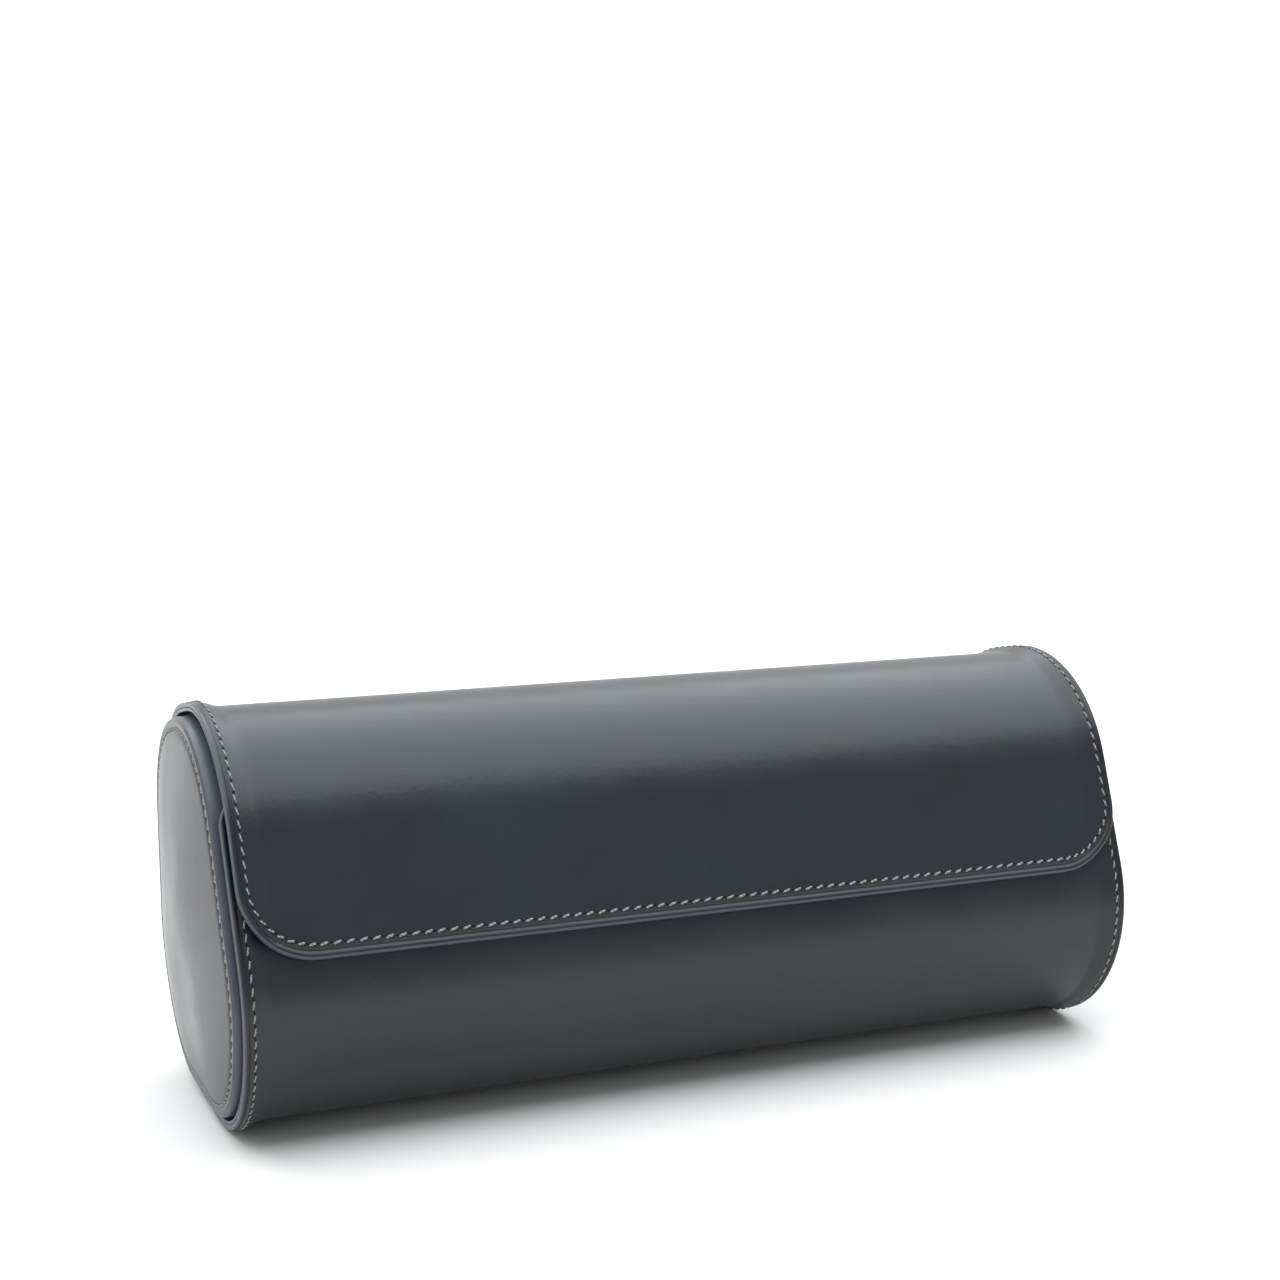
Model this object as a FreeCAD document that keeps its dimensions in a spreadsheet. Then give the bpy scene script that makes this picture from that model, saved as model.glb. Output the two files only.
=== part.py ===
"""Travel watch roll: a padded leather case with a fold-over flap and three watch cushions.

Frame: X runs along the roll, the flap closes over the front (-Y), +Z is up, and the origin is the
middle of the flat strip that the roll rests on.  Millimetres.

Every leather, lining and board layer follows one cross-section: a flat base, a back and a front wall
that lean inwards, and rounded shoulders.  A layer is the band between two insets of that section.
"""

import FreeCAD, Part
import math
import os

import Sketcher

Vector = FreeCAD.Vector

SIZES = {
    "rim_length": 230.0,            # rim to rim, along the roll
    "base_flat": 21.0,              # flat strip that the roll rests on
    "back_bottom_radius": 36.0,
    "back_lean": 7.0,               # degrees from upright, leaning forwards
    "back_flat": 25.4,              # back wall, up to the hinge line
    "back_top_radius": 35.0,
    "front_top_radius": 38.0,
    "front_flat": 28.4,
    "front_lean": 22.5,             # degrees from upright, leaning backwards
    "front_bottom_radius": 34.5,
    "wall_roll": 16.0,              # degrees that the front wall goes on round the shoulder, under the flap
    "cover_gauge": 1.3,             # outer leather
    "lining_gauge": 0.9,            # leather lining glued to it, seen on the rim
    "board_gauge": 2.0,             # stiffener under the lining
    "suede_gauge": 0.8,             # inside lining
    "wall_gap": 0.3,                # closed flap to front wall
    "hinge_gap": 0.3,               # split line between back wall and flap
    "hinge_standoff": 0.3,          # hinge axis outside the leather
    "flap_side_inset": 1.2,         # flap edge back from the rim
    "flap_front_radius": 37.5,      # flap's shoulder over the top of the front wall
    "flap_front": 29.1,             # flat front of the flap, up to its edge
    "flap_corner_radius": 17.0,
    "lid_end_gap": 0.3,             # lid board to end disc
    "lid_front_trim": 5.0,          # degrees between the front wall's top and the lid board
    "end_inset": 5.0,               # rim plane to the end board's inner face
    "end_board_gauge": 2.5,
    "end_gap": 0.4,                 # end disc to the wrap's inner face
    "end_cover_gauge": 1.2,
    "end_edge_proud": 1.7,          # edge of the padded disc beyond the rim
    "end_edge_round": 1.2,
    "end_crown": 3.8,               # padded middle beyond the disc's edge
    "crown_reach": 24.0,            # how far in the crown goes on rising
    "binding_height": 1.0,
    "hinge_strip_width": 9.0,       # strip's part on the back wall
    "hinge_strip_sweep": 15.0,      # degrees of the lid's shoulder that its other part covers
    "divider_gauge": 4.0,
    "divider_core_gauge": 2.4,
    "divider_top": 52.0,
    "cushion_length": 60.0,
    "cushion_depth": 56.0,
    "cushion_height": 46.0,
    "cushion_corner": 20.0,
    "cushion_lift": 0.5,            # clear of the suede under it
    "cushion_skin": 1.0,
    "cushion_end_round": 4.0,
    "cushion_sleeve_end": 6.0,      # foam end left bare by the sleeve
    "magnet_radius": 6.0,
    "magnet_hole_gap": 0.1,
    "magnet_drop": 11.0,            # magnet centre below the top of the front flat
    "magnet_spread": 75.0,          # magnet centre from the middle of the roll
    "keeper_gauge": 0.6,
}

doc = FreeCAD.newDocument("WatchRoll")
sheet = doc.addObject("Spreadsheet::Sheet", "Sizes")
for row, (alias, number) in enumerate(SIZES.items(), start=1):
    sheet.set(f"A{row}", alias)
    sheet.set(f"B{row}", str(number))
    sheet.setAlias(f"B{row}", alias)
doc.recompute()

COVER = ("cover_gauge",)
SHEET = COVER + ("lining_gauge",)
BOARD = SHEET + ("board_gauge",)
SUEDE = BOARD + ("suede_gauge",)
STRIP = SUEDE + ("suede_gauge",)
DISC = SHEET + ("end_gap",)
PAD = DISC + ("end_cover_gauge",)
LIFT = SHEET + ("wall_gap",)

RIM = (("rim_length", 0.5),)
END_FACE = (*RIM, ("end_inset", -1))
END_LINING_FACE = (*END_FACE, ("suede_gauge", -1))
END_SEAT = (*END_FACE, "end_board_gauge")
LID_HALF = (*END_LINING_FACE, ("lid_end_gap", -1))
FLAP_HALF = (*RIM, ("flap_side_inset", -1))
COMPARTMENT_STEP = (("rim_length", 1 / 3), ("end_inset", -2 / 3), ("suede_gauge", -2 / 3),
                    ("divider_gauge", 1 / 3))
DIVIDER_PLACE = tuple((alias, factor / 2) for alias, factor in COMPARTMENT_STEP)
SIDES = (("left", -1), ("right", 1))

UPRIGHT = 90.0
DOWN = 270.0
DOME_STEPS = (0.3, 0.6, 0.9)        # shares of the crown's reach at which a dome section lies
SAME = 0.01                         # lengths and directions closer than this count as equal


def size(alias):
    """A size's number, read from the sheet."""
    return float(sheet.get(alias))


def total(terms):
    """Sizes added up; a term is a size's name, or a name with a factor."""
    return sum(size(term) if isinstance(term, str) else size(term[0]) * term[1] for term in terms)


def added(terms):
    """The expression for sizes added up."""
    named = [f"Sizes.{term}" if isinstance(term, str) else f"Sizes.{term[0]} * {term[1]}" for term in terms]
    return " + ".join(named) or "0"


def unit(degrees):
    """Unit vector in the section's plane."""
    return Vector(math.cos(math.radians(degrees)), math.sin(math.radians(degrees)), 0)


class Section:
    """Centres, angles and ends of the cross-section, from the sheet's sizes."""

    def __init__(self, flap=False):
        half = size("base_flat") / 2
        self.back_normal = size("back_lean")
        self.front_normal = 2 * UPRIGHT - size("front_lean")
        self.radius = {
            "back_bottom": size("back_bottom_radius"),
            "back_top": size("back_top_radius"),
            "front_top": size("flap_front_radius" if flap else "front_top_radius"),
            "front_bottom": size("front_bottom_radius"),
        }
        back_bottom = Vector(half, self.radius["back_bottom"], 0)
        front_bottom = Vector(-half, self.radius["front_bottom"], 0)
        up_back = unit(self.back_normal + UPRIGHT)
        up_front = unit(self.front_normal - UPRIGHT)
        self.hinge = back_bottom + unit(self.back_normal) * self.radius["back_bottom"]
        self.hinge += up_back * size("back_flat")
        self.front_head = front_bottom + unit(self.front_normal) * self.radius["front_bottom"]
        self.front_head += up_front * size("front_flat")
        self.split = self.hinge + up_back * (size("hinge_gap") if flap else 0)
        lift = total(LIFT) if flap else 0
        back_top = self.split - unit(self.back_normal) * self.radius["back_top"]
        front_top = self.front_head - unit(self.front_normal) * (self.radius["front_top"] - lift)
        self.centre = {
            "back_bottom": back_bottom,
            "back_top": back_top,
            "front_top": front_top,
            "front_bottom": front_bottom,
        }
        apart = back_top - front_top
        growth = self.radius["front_top"] - self.radius["back_top"]
        bearing = math.degrees(math.atan2(apart.y, apart.x))
        self.top_normal = bearing + math.degrees(math.acos(growth / apart.Length))

    def on(self, corner, inset, degrees):
        """Point of a rounded corner, at an inset, where the wall faces the given way."""
        return self.centre[corner] + unit(degrees) * (self.radius[corner] - inset)


class Outline:
    """A sketch across the roll, built from tangent lines and arcs whose sizes follow the sheet."""

    def __init__(self, body, name, station=""):
        self.sketch = body.newObject("Sketcher::SketchObject", name)
        plane = [f for f in body.Origin.OriginFeatures if f.Role == "YZ_Plane"][0]
        self.sketch.AttachmentSupport = (plane, [""])
        self.sketch.MapMode = "FlatFace"
        if station:
            self.sketch.setExpression("AttachmentOffset.Base.z", station)

    def line(self, first, last, construction=False):
        return self.sketch.addGeometry(Part.LineSegment(first, last), construction)

    def arc(self, centre, radius, start, end, construction=False):
        circle = Part.Circle(centre, Vector(0, 0, 1), radius)
        arc = Part.ArcOfCircle(circle, math.radians(start), math.radians(end))
        return self.sketch.addGeometry(arc, construction)

    def rule(self, kind, *items):
        return self.sketch.addConstraint(Sketcher.Constraint(kind, *items))

    def dimension(self, kind, items, value, expression):
        index = self.rule(kind, *items, value)
        self.sketch.setExpression(f"Constraints[{index}]", expression)

    def chain(self, pieces, closed=False):
        """Each piece runs smoothly into the next."""
        following = pieces[1:] + pieces[:1] if closed else pieces[1:]
        for first, second in zip(pieces, following):
            self.rule("Tangent", first, 2, second, 1)

    def trough(self, inset=(), construction=False, rolled=False):
        """Front, base and back walls at an inset; returns the pieces from the front's top to the hinge.

        A rolled front wall goes on above its flat, round the centre of the flap's front shoulder.
        """
        section = Section()
        depth = total(inset)
        half = size("base_flat") / 2
        front_head = section.front_head - unit(section.front_normal) * depth
        front_foot = section.on("front_bottom", depth, section.front_normal)
        back_foot = section.on("back_bottom", depth, section.back_normal)
        hinge = section.hinge - unit(section.back_normal) * depth
        front = self.line(front_head, front_foot, construction)
        front_bottom = self.arc(section.centre["front_bottom"], section.radius["front_bottom"] - depth,
                                section.front_normal, DOWN, construction)
        base = self.line(Vector(-half, depth, 0), Vector(half, depth, 0), construction)
        back_bottom = self.arc(section.centre["back_bottom"], section.radius["back_bottom"] - depth,
                               DOWN, 4 * UPRIGHT + section.back_normal, construction)
        back = self.line(back_foot, hinge, construction)
        pieces = [front, front_bottom, base, back_bottom, back]
        self.chain(pieces)
        self.rule("Horizontal", base)
        self.dimension("DistanceX", (base, 1, -1, 1), half, "Sizes.base_flat / 2")
        self.dimension("DistanceX", (base, 1, base, 2), 2 * half, "Sizes.base_flat")
        self.dimension("DistanceY", (-1, 1, base, 1), depth, added(inset))
        for piece, corner in ((front_bottom, "front_bottom"), (back_bottom, "back_bottom")):
            self.dimension("Radius", (piece,), section.radius[corner] - depth,
                           f"Sizes.{corner}_radius - ({added(inset)})")
        self.dimension("Distance", (front,), size("front_flat"), "Sizes.front_flat")
        self.dimension("Distance", (back,), size("back_flat"), "Sizes.back_flat")
        self.dimension("Angle", (front,), math.radians(section.front_normal + UPRIGHT),
                       "270 deg - Sizes.front_lean * 1 deg")
        self.dimension("Angle", (back,), math.radians(section.back_normal + UPRIGHT),
                       "90 deg + Sizes.back_lean * 1 deg")
        if rolled:
            radius = size("flap_front_radius") - total(LIFT) - depth
            roll = self.arc(Section(flap=True).centre["front_top"], radius,
                            section.front_normal - size("wall_roll"), section.front_normal, construction)
            self.rule("Tangent", roll, 2, front, 1)
            self.dimension("Radius", (roll,), radius, f"Sizes.flap_front_radius - ({added(LIFT + inset)})")
            pieces.insert(0, roll)
        return pieces

    def closed(self, inset=()):
        """The whole section at an inset, with its rounded top."""
        section = Section()
        depth = total(inset)
        walls = self.trough(inset)
        back_top = self.arc(section.centre["back_top"], section.radius["back_top"] - depth,
                            section.back_normal, section.top_normal)
        top = self.line(section.on("back_top", depth, section.top_normal),
                        section.on("front_top", depth, section.top_normal))
        front_top = self.arc(section.centre["front_top"], section.radius["front_top"] - depth,
                             section.top_normal, section.front_normal)
        self.chain([walls[-1], back_top, top, front_top, walls[0]])
        for piece, corner in ((back_top, "back_top"), (front_top, "front_top")):
            self.dimension("Radius", (piece,), section.radius[corner] - depth,
                           f"Sizes.{corner}_radius - ({added(inset)})")

    def wall_band(self, outer, inner):
        """Closed band of the trough between two insets."""
        outside = self.trough(outer, rolled=True)
        inside = self.trough(inner, rolled=True)
        geometry = self.sketch.Geometry
        cuts = []
        for piece, end, point in ((outside[0], 1, "StartPoint"), (outside[-1], 2, "EndPoint")):
            mate = inside[0] if end == 1 else inside[-1]
            cut = self.line(getattr(geometry[piece], point), getattr(geometry[mate], point))
            self.rule("Coincident", piece, end, cut, 1)
            self.rule("Coincident", mate, end, cut, 2)
            cuts.append(cut)
        self.rule("PointOnObject", outside[0], 3, cuts[0])
        end_normal = 2 * UPRIGHT - size("front_lean") - size("wall_roll")
        self.dimension("Angle", (cuts[0],), math.radians(end_normal + 2 * UPRIGHT),
                       "360 deg - (Sizes.front_lean + Sizes.wall_roll) * 1 deg")

    def flap_centres(self):
        """Construction lines that carry the flap's two shoulder centres; returns those lines."""
        section = Section(flap=True)
        walls = self.trough(construction=True)
        gap = self.line(section.hinge, section.split, True)
        self.rule("Coincident", walls[-1], 2, gap, 1)
        self.rule("Parallel", walls[-1], gap)
        self.dimension("Distance", (gap,), size("hinge_gap"), "Sizes.hinge_gap")
        back_spoke = self.line(section.split, section.centre["back_top"], True)
        self.rule("Coincident", gap, 2, back_spoke, 1)
        self.rule("Perpendicular", walls[-1], back_spoke)
        self.dimension("Distance", (back_spoke,), size("back_top_radius"), "Sizes.back_top_radius")
        front_spoke = self.line(section.front_head, section.centre["front_top"], True)
        self.rule("Coincident", walls[0], 1, front_spoke, 1)
        self.rule("Perpendicular", walls[0], front_spoke)
        self.dimension("Distance", (front_spoke,), size("flap_front_radius") - total(LIFT),
                       f"Sizes.flap_front_radius - ({added(LIFT)})")
        return section, walls[0], back_spoke, front_spoke

    def shoulders(self, section, inset, spokes, end_normal):
        """The flap's back shoulder, top and front shoulder at an inset."""
        depth = total(inset)
        back_top = self.arc(section.centre["back_top"], section.radius["back_top"] - depth,
                            section.back_normal, section.top_normal)
        top = self.line(section.on("back_top", depth, section.top_normal),
                        section.on("front_top", depth, section.top_normal))
        front_top = self.arc(section.centre["front_top"], section.radius["front_top"] - depth,
                             section.top_normal, end_normal)
        self.chain([back_top, top, front_top])
        self.rule("Coincident", back_top, 3, spokes[0], 2)
        self.rule("PointOnObject", back_top, 1, spokes[0])
        self.rule("Coincident", front_top, 3, spokes[1], 2)
        self.dimension("Radius", (back_top,), section.radius["back_top"] - depth,
                       f"Sizes.back_top_radius - ({added(inset)})")
        self.dimension("Radius", (front_top,), section.radius["front_top"] - depth,
                       f"Sizes.flap_front_radius - ({added(inset)})")
        return back_top, top, front_top

    def join_ends(self, outside, inside, first_points, last_points):
        """Straight cuts that close a band at its two ends; returns the last cut."""
        for pair, end, points in (((outside[0], inside[0]), 1, first_points),
                                  ((outside[-1], inside[-1]), 2, last_points)):
            cut = self.line(*points)
            self.rule("Coincident", pair[0], end, cut, 1)
            self.rule("Coincident", pair[1], end, cut, 2)
        return cut

    def flap_band(self, outer, inner):
        """Flap leather between two insets, from the hinge to its edge on the front."""
        section, wall, *spokes = self.flap_centres()
        bands = []
        tips = []
        for inset in (outer, inner):
            depth = total(inset)
            pieces = self.shoulders(section, inset, spokes, section.front_normal)
            head = section.on("front_top", depth, section.front_normal)
            tip = head + unit(section.front_normal + UPRIGHT) * size("flap_front")
            front = self.line(head, tip)
            self.rule("Tangent", pieces[-1], 2, front, 1)
            self.rule("Parallel", wall, front)
            self.dimension("Distance", (front,), size("flap_front"), "Sizes.flap_front")
            bands.append([*pieces, front])
            tips.append(tip)
        starts = [section.on("back_top", total(inset), section.back_normal) for inset in (outer, inner)]
        self.join_ends(bands[0], bands[1], starts, tips)

    def lid_band(self, outer, inner):
        """Lid stiffener between two insets; it stops short of the front wall's top edge."""
        section, _, *spokes = self.flap_centres()
        end_normal = section.front_normal - size("wall_roll") - size("lid_front_trim")
        bands = [self.shoulders(section, inset, spokes, end_normal) for inset in (outer, inner)]
        starts = [section.on("back_top", total(inset), section.back_normal) for inset in (outer, inner)]
        ends = [section.on("front_top", total(inset), end_normal) for inset in (outer, inner)]
        cut = self.join_ends(bands[0], bands[1], starts, ends)
        self.rule("PointOnObject", spokes[1], 2, cut)
        self.dimension("Angle", (cut,), math.radians(end_normal + 2 * UPRIGHT),
                       "360 deg - (Sizes.front_lean + Sizes.wall_roll + Sizes.lid_front_trim) * 1 deg")

    def lid_strip(self, outer, inner):
        """Thin band on the lid's back shoulder, next to the hinge."""
        section, _, spoke, _ = self.flap_centres()
        centre = section.centre["back_top"]
        end_normal = section.back_normal + size("hinge_strip_sweep")
        arcs = []
        for inset in (outer, inner):
            radius = section.radius["back_top"] - total(inset)
            arc = self.arc(centre, radius, section.back_normal, end_normal)
            self.rule("Coincident", arc, 3, spoke, 2)
            self.rule("PointOnObject", arc, 1, spoke)
            self.dimension("Radius", (arc,), radius, f"Sizes.back_top_radius - ({added(inset)})")
            arcs.append(arc)
        starts = [section.on("back_top", total(inset), section.back_normal) for inset in (outer, inner)]
        ends = [section.on("back_top", total(inset), end_normal) for inset in (outer, inner)]
        cut = self.join_ends(arcs[:1], arcs[1:], starts, ends)
        self.rule("PointOnObject", spoke, 2, cut)
        self.dimension("Angle", (cut,), math.radians(end_normal + 2 * UPRIGHT),
                       "180 deg + (Sizes.back_lean + Sizes.hinge_strip_sweep) * 1 deg")

    def wall_strip(self, walls, piece, end, width, gauge):
        """Rectangle against a wall's inner side, next to one end of it, on the given side of that end."""
        geometry = self.sketch.Geometry[walls[piece]]
        along = (geometry.EndPoint - geometry.StartPoint).normalize()
        inward = Vector(-along.y, along.x, 0)
        anchor = geometry.StartPoint if end == 1 else geometry.EndPoint
        reach = along * total((width[0],)) * width[1]
        corners = [anchor, anchor + reach]
        corners += [corners[1] + inward * total(gauge), anchor + inward * total(gauge)]
        sides = [self.line(corners[k], corners[(k + 1) % 4]) for k in range(4)]
        for index in range(4):
            self.rule("Coincident", sides[index], 2, sides[(index + 1) % 4], 1)
        self.rule("Coincident", walls[piece], end, sides[0], 1)
        self.rule("Parallel", walls[piece], sides[0])
        self.rule("Perpendicular", walls[piece], sides[1])
        self.rule("Parallel", sides[0], sides[2])
        self.rule("Parallel", sides[1], sides[3])
        self.dimension("Distance", (sides[0],), corners[0].distanceToPoint(corners[1]), f"Sizes.{width[0]}")
        self.dimension("Distance", (sides[1],), total(gauge), added(gauge))

    def rounded_box(self, width, height, corner, foot):
        """Rounded rectangle, centred on the roll's middle plane, standing at a height."""
        half = total(width) / 2
        low = total(foot)
        high = low + total(height)
        turn = total(corner)
        middle = half - turn
        centres = [Vector(middle, low + turn, 0), Vector(middle, high - turn, 0),
                   Vector(-middle, high - turn, 0), Vector(-middle, low + turn, 0)]
        lines = [self.line(Vector(-middle, low, 0), Vector(middle, low, 0)),
                 self.line(Vector(half, low + turn, 0), Vector(half, high - turn, 0)),
                 self.line(Vector(middle, high, 0), Vector(-middle, high, 0)),
                 self.line(Vector(-half, high - turn, 0), Vector(-half, low + turn, 0))]
        arcs = [self.arc(centre, turn, DOWN + UPRIGHT * k, DOWN + UPRIGHT * (k + 1))
                for k, centre in enumerate(centres)]
        self.chain([lines[0], arcs[0], lines[1], arcs[1], lines[2], arcs[2], lines[3], arcs[3]], closed=True)
        for line, kind in zip(lines, ("Horizontal", "Vertical") * 2):
            self.rule(kind, line)
        for arc in arcs[1:]:
            self.rule("Equal", arcs[0], arc)
        self.dimension("Radius", (arcs[0],), turn, added(corner))
        self.dimension("DistanceX", (lines[3], 1, lines[1], 1), 2 * half, added(width))
        self.dimension("DistanceX", (lines[3], 1, -1, 1), half, f"({added(width)}) / 2")
        self.dimension("DistanceY", (lines[0], 1, lines[2], 2), high - low, added(height))
        self.dimension("DistanceY", (-1, 1, lines[0], 1), low, added(foot))

    def above(self, height, reach=("rim_length",)):
        """A block that takes away everything above a height."""
        low = total(height)
        wide = total(reach)
        corners = [Vector(-wide, low, 0), Vector(wide, low, 0), Vector(wide, low + wide, 0),
                   Vector(-wide, low + wide, 0)]
        sides = [self.line(corners[k], corners[(k + 1) % 4]) for k in range(4)]
        for index in range(4):
            self.rule("Coincident", sides[index], 2, sides[(index + 1) % 4], 1)
            self.rule(("Horizontal", "Vertical")[index % 2], sides[index])
        self.dimension("DistanceY", (-1, 1, sides[0], 1), low, added(height))
        self.dimension("DistanceX", (sides[0], 1, -1, 1), wide, added(reach))
        self.dimension("DistanceX", (sides[0], 1, sides[0], 2), 2 * wide, f"2 * ({added(reach)})")
        self.dimension("DistanceY", (sides[1], 1, sides[1], 2), wide, added(reach))


def new_body(name):
    body = doc.addObject("PartDesign::Body", name)
    body.Label = name
    return body


def pad(body, outline, name, length, both_ways=True, flipped=False):
    """Thickness along the roll for a sketch across it."""
    feature = body.newObject("PartDesign::Pad", name)
    feature.Profile = outline.sketch
    feature.SideType = "Symmetric" if both_ways else "One side"
    feature.Reversed = flipped
    feature.setExpression("Length", length)
    outline.sketch.Visibility = False
    return feature


def wall_layer(name, outer, inner, length):
    """One layer of the trough: front wall, base and back wall."""
    body = new_body(name)
    outline = Outline(body, name + "_section")
    outline.wall_band(outer, inner)
    pad(body, outline, name + "_run", length)
    return body


def flap_layer(name, outer, inner, length, rounded):
    """One layer of the flap; the outer two run down the front and have rounded corners."""
    body = new_body(name)
    outline = Outline(body, name + "_section")
    if rounded:
        outline.flap_band(outer, inner)
    else:
        outline.lid_band(outer, inner)
    run = pad(body, outline, name + "_run", length)
    if rounded:
        doc.recompute()
        section = Section(flap=True)
        tip = section.on("front_top", total(outer), section.front_normal)
        tip += unit(section.front_normal + UPRIGHT) * size("flap_front")
        corners = corner_edges(run.Shape, tip, total(inner) - total(outer))
        fillet = body.newObject("PartDesign::Fillet", name + "_corners")
        fillet.Base = (run, corners)
        fillet.setExpression("Radius", "Sizes.flap_corner_radius")
    return body


def corner_edges(shape, tip, gauge):
    """Names of the short edges through the leather at the flap's two lower corners."""
    names = []
    for index, edge in enumerate(shape.Edges, start=1):
        near = math.hypot(edge.CenterOfMass.y - tip.x, edge.CenterOfMass.z - tip.y)
        if abs(edge.Length - gauge) < SAME and near < gauge:
            names.append(f"Edge{index}")
    return names


def along(side, terms):
    """Expression for a place along the roll, on the given side of its middle."""
    return f"{side} * ({added(terms)})"


def doubled(terms):
    """Full length from a half length's terms."""
    return f"2 * ({added(terms)})"


def end_plate(name, side, station, gauge):
    """A flat layer of an end disc, from a place near the rim outwards."""
    body = new_body(name)
    outline = Outline(body, name + "_section", along(side, station))
    outline.closed(DISC)
    pad(body, outline, name + "_run", gauge, both_ways=False, flipped=side < 0)
    return body


def dome_sections(body, name, side, edge, skin):
    """Sketches that loft into a padded end: a straight edge, a rounded corner, then the crown."""
    rim = (*RIM, "end_edge_proud", *((alias, -1) for alias in skin))
    stations = [(END_SEAT, edge), ((*rim, ("end_edge_round", -1)), edge), (rim, (*edge, "end_edge_round"))]
    for step in DOME_STEPS:
        rise = round(math.sin(math.radians(UPRIGHT * step)), 4)
        stations.append(((*rim, ("end_crown", rise)), (*edge, "end_edge_round", ("crown_reach", step))))
    sketches = []
    for index, (station, inset) in enumerate(stations):
        outline = Outline(body, f"{name}_{index}", along(side, station))
        outline.closed(inset)
        sketches.append(outline.sketch)
    return sketches


def loft(body, kind, name, sections):
    """Skin through sections of the same outline at growing insets."""
    feature = body.newObject(kind, name)
    feature.Profile = sections[0]
    feature.Sections = sections[1:]
    feature.Ruled = True
    return feature


def end_cover(name, side):
    """Leather cup drawn over the end's padding."""
    body = new_body(name)
    outer = dome_sections(body, name + "_out", side, DISC, ())
    loft(body, "PartDesign::AdditiveLoft", name + "_outside", outer)
    doc.recompute()
    inner = dome_sections(body, name + "_in", side, PAD, ("end_cover_gauge",))
    loft(body, "PartDesign::SubtractiveLoft", name + "_inside", inner)
    return body


def end_pad(name, side):
    """Foam that fills the cup."""
    body = new_body(name)
    sections = dome_sections(body, name + "_section", side, PAD, ("end_cover_gauge",))
    loft(body, "PartDesign::AdditiveLoft", name + "_dome", sections)
    return body


def divider_blank(name, side, gauge, top):
    """Partition across the trough, cut off level below the hinge."""
    body = new_body(name)
    station = along(side, DIVIDER_PLACE)
    outline = Outline(body, name + "_section", station)
    outline.closed(SUEDE)
    pad(body, outline, name + "_run", added(gauge))
    trim = Outline(body, name + "_level", station)
    trim.above(top)
    pocket = body.newObject("PartDesign::Pocket", name + "_top")
    pocket.Profile = trim.sketch
    pocket.SideType = "Symmetric"
    pocket.setExpression("Length", doubled(gauge))
    trim.sketch.Visibility = False
    return body


def divider(name, side):
    """Board core and the suede folded over it."""
    core = divider_blank(name + "_core", side, ("divider_core_gauge",), ("divider_top", ("suede_gauge", -1)))
    blank = divider_blank(name + "_blank", side, ("divider_gauge",), ("divider_top",))
    return core, cut(name + "_cover", blank, core)


def cut(name, base, tool):
    """One piece with room for another taken out of it."""
    result = doc.addObject("Part::Cut", name)
    result.Label = name
    result.Base = base
    result.Tool = tool
    return result


def cushion(name, place):
    """Foam core with rounded ends, and the suede sleeve round its middle; place is -1, 0 or 1."""
    station = along(place, COMPARTMENT_STEP)
    foot = (*SUEDE, "cushion_lift")
    skin = (("cushion_skin", -2),)
    foam_sizes = (("cushion_depth", *skin), ("cushion_height", *skin),
                  ("cushion_corner", ("cushion_skin", -1)), (*foot, "cushion_skin"))
    core = new_body(name + "_core")
    foam = Outline(core, name + "_core_section", station)
    foam.rounded_box(*foam_sizes)
    run = pad(core, foam, name + "_core_run", "Sizes.cushion_length")
    doc.recompute()
    ends = [f"Face{index}" for index, face in enumerate(run.Shape.Faces, start=1)
            if abs(abs(face.normalAt(0, 0).x) - 1) < SAME]
    fillet = core.newObject("PartDesign::Fillet", name + "_core_ends")
    fillet.Base = (run, ends)
    fillet.setExpression("Radius", "Sizes.cushion_end_round")
    sleeve = new_body(name + "_sleeve")
    suede = Outline(sleeve, name + "_sleeve_section", station)
    suede.rounded_box(("cushion_depth",), ("cushion_height",), ("cushion_corner",), foot)
    suede.rounded_box(*foam_sizes)
    pad(sleeve, suede, name + "_sleeve_run", "Sizes.cushion_length - 2 * Sizes.cushion_sleeve_end")
    return core, sleeve


def button(name, side, radius, inset, gauge, lift=()):
    """Round disc let into the front, its axis square to the front flat."""
    section = Section()
    facing = unit(section.front_normal)
    centre = section.front_head + unit(section.front_normal + UPRIGHT) * size("magnet_drop")
    centre += facing * (total(lift) - total(inset) - total(gauge))
    disc = doc.addObject("Part::Cylinder", name)
    disc.Label = name
    disc.setExpression("Radius", added(radius))
    disc.setExpression("Height", added(gauge))
    axis = Vector(0, facing.x, facing.y)
    place = Vector(side * size("magnet_spread"), centre.x, centre.y)
    disc.Placement = FreeCAD.Placement(place, FreeCAD.Rotation(Vector(0, 0, 1), axis))
    return disc


def buttons_in(name, base, title, inset, gauge, lift=()):
    """A layer with a pair of round pieces let into it; returns the layer and the pieces."""
    pieces = [button(f"{title}_{word}", side, ("magnet_radius",), inset, gauge, lift)
              for word, side in SIDES]
    holes = [button(f"{title}_{word}_hole", side, ("magnet_radius", "magnet_hole_gap"), inset, gauge, lift)
             for word, side in SIDES]
    pair = doc.addObject("Part::MultiFuse", title + "_holes")
    pair.Shapes = holes
    return [cut(name, base, pair), *pieces]


def hinge_strip_case():
    """Suede strip on the back wall, up to the hinge."""
    body = new_body("hinge_strip_case")
    outline = Outline(body, "hinge_strip_case_section")
    walls = outline.trough(SUEDE, construction=True)
    outline.wall_strip(walls, -1, 2, ("hinge_strip_width", -1), ("suede_gauge",))
    pad(body, outline, "hinge_strip_case_run", doubled(LID_HALF))
    return body


def hinge_strip_lid():
    """The same strip's other half, on the lid."""
    body = new_body("hinge_strip_lid")
    outline = Outline(body, "hinge_strip_lid_section")
    outline.lid_strip(SUEDE, STRIP)
    pad(body, outline, "hinge_strip_lid_run", doubled(LID_HALF))
    return body


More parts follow.
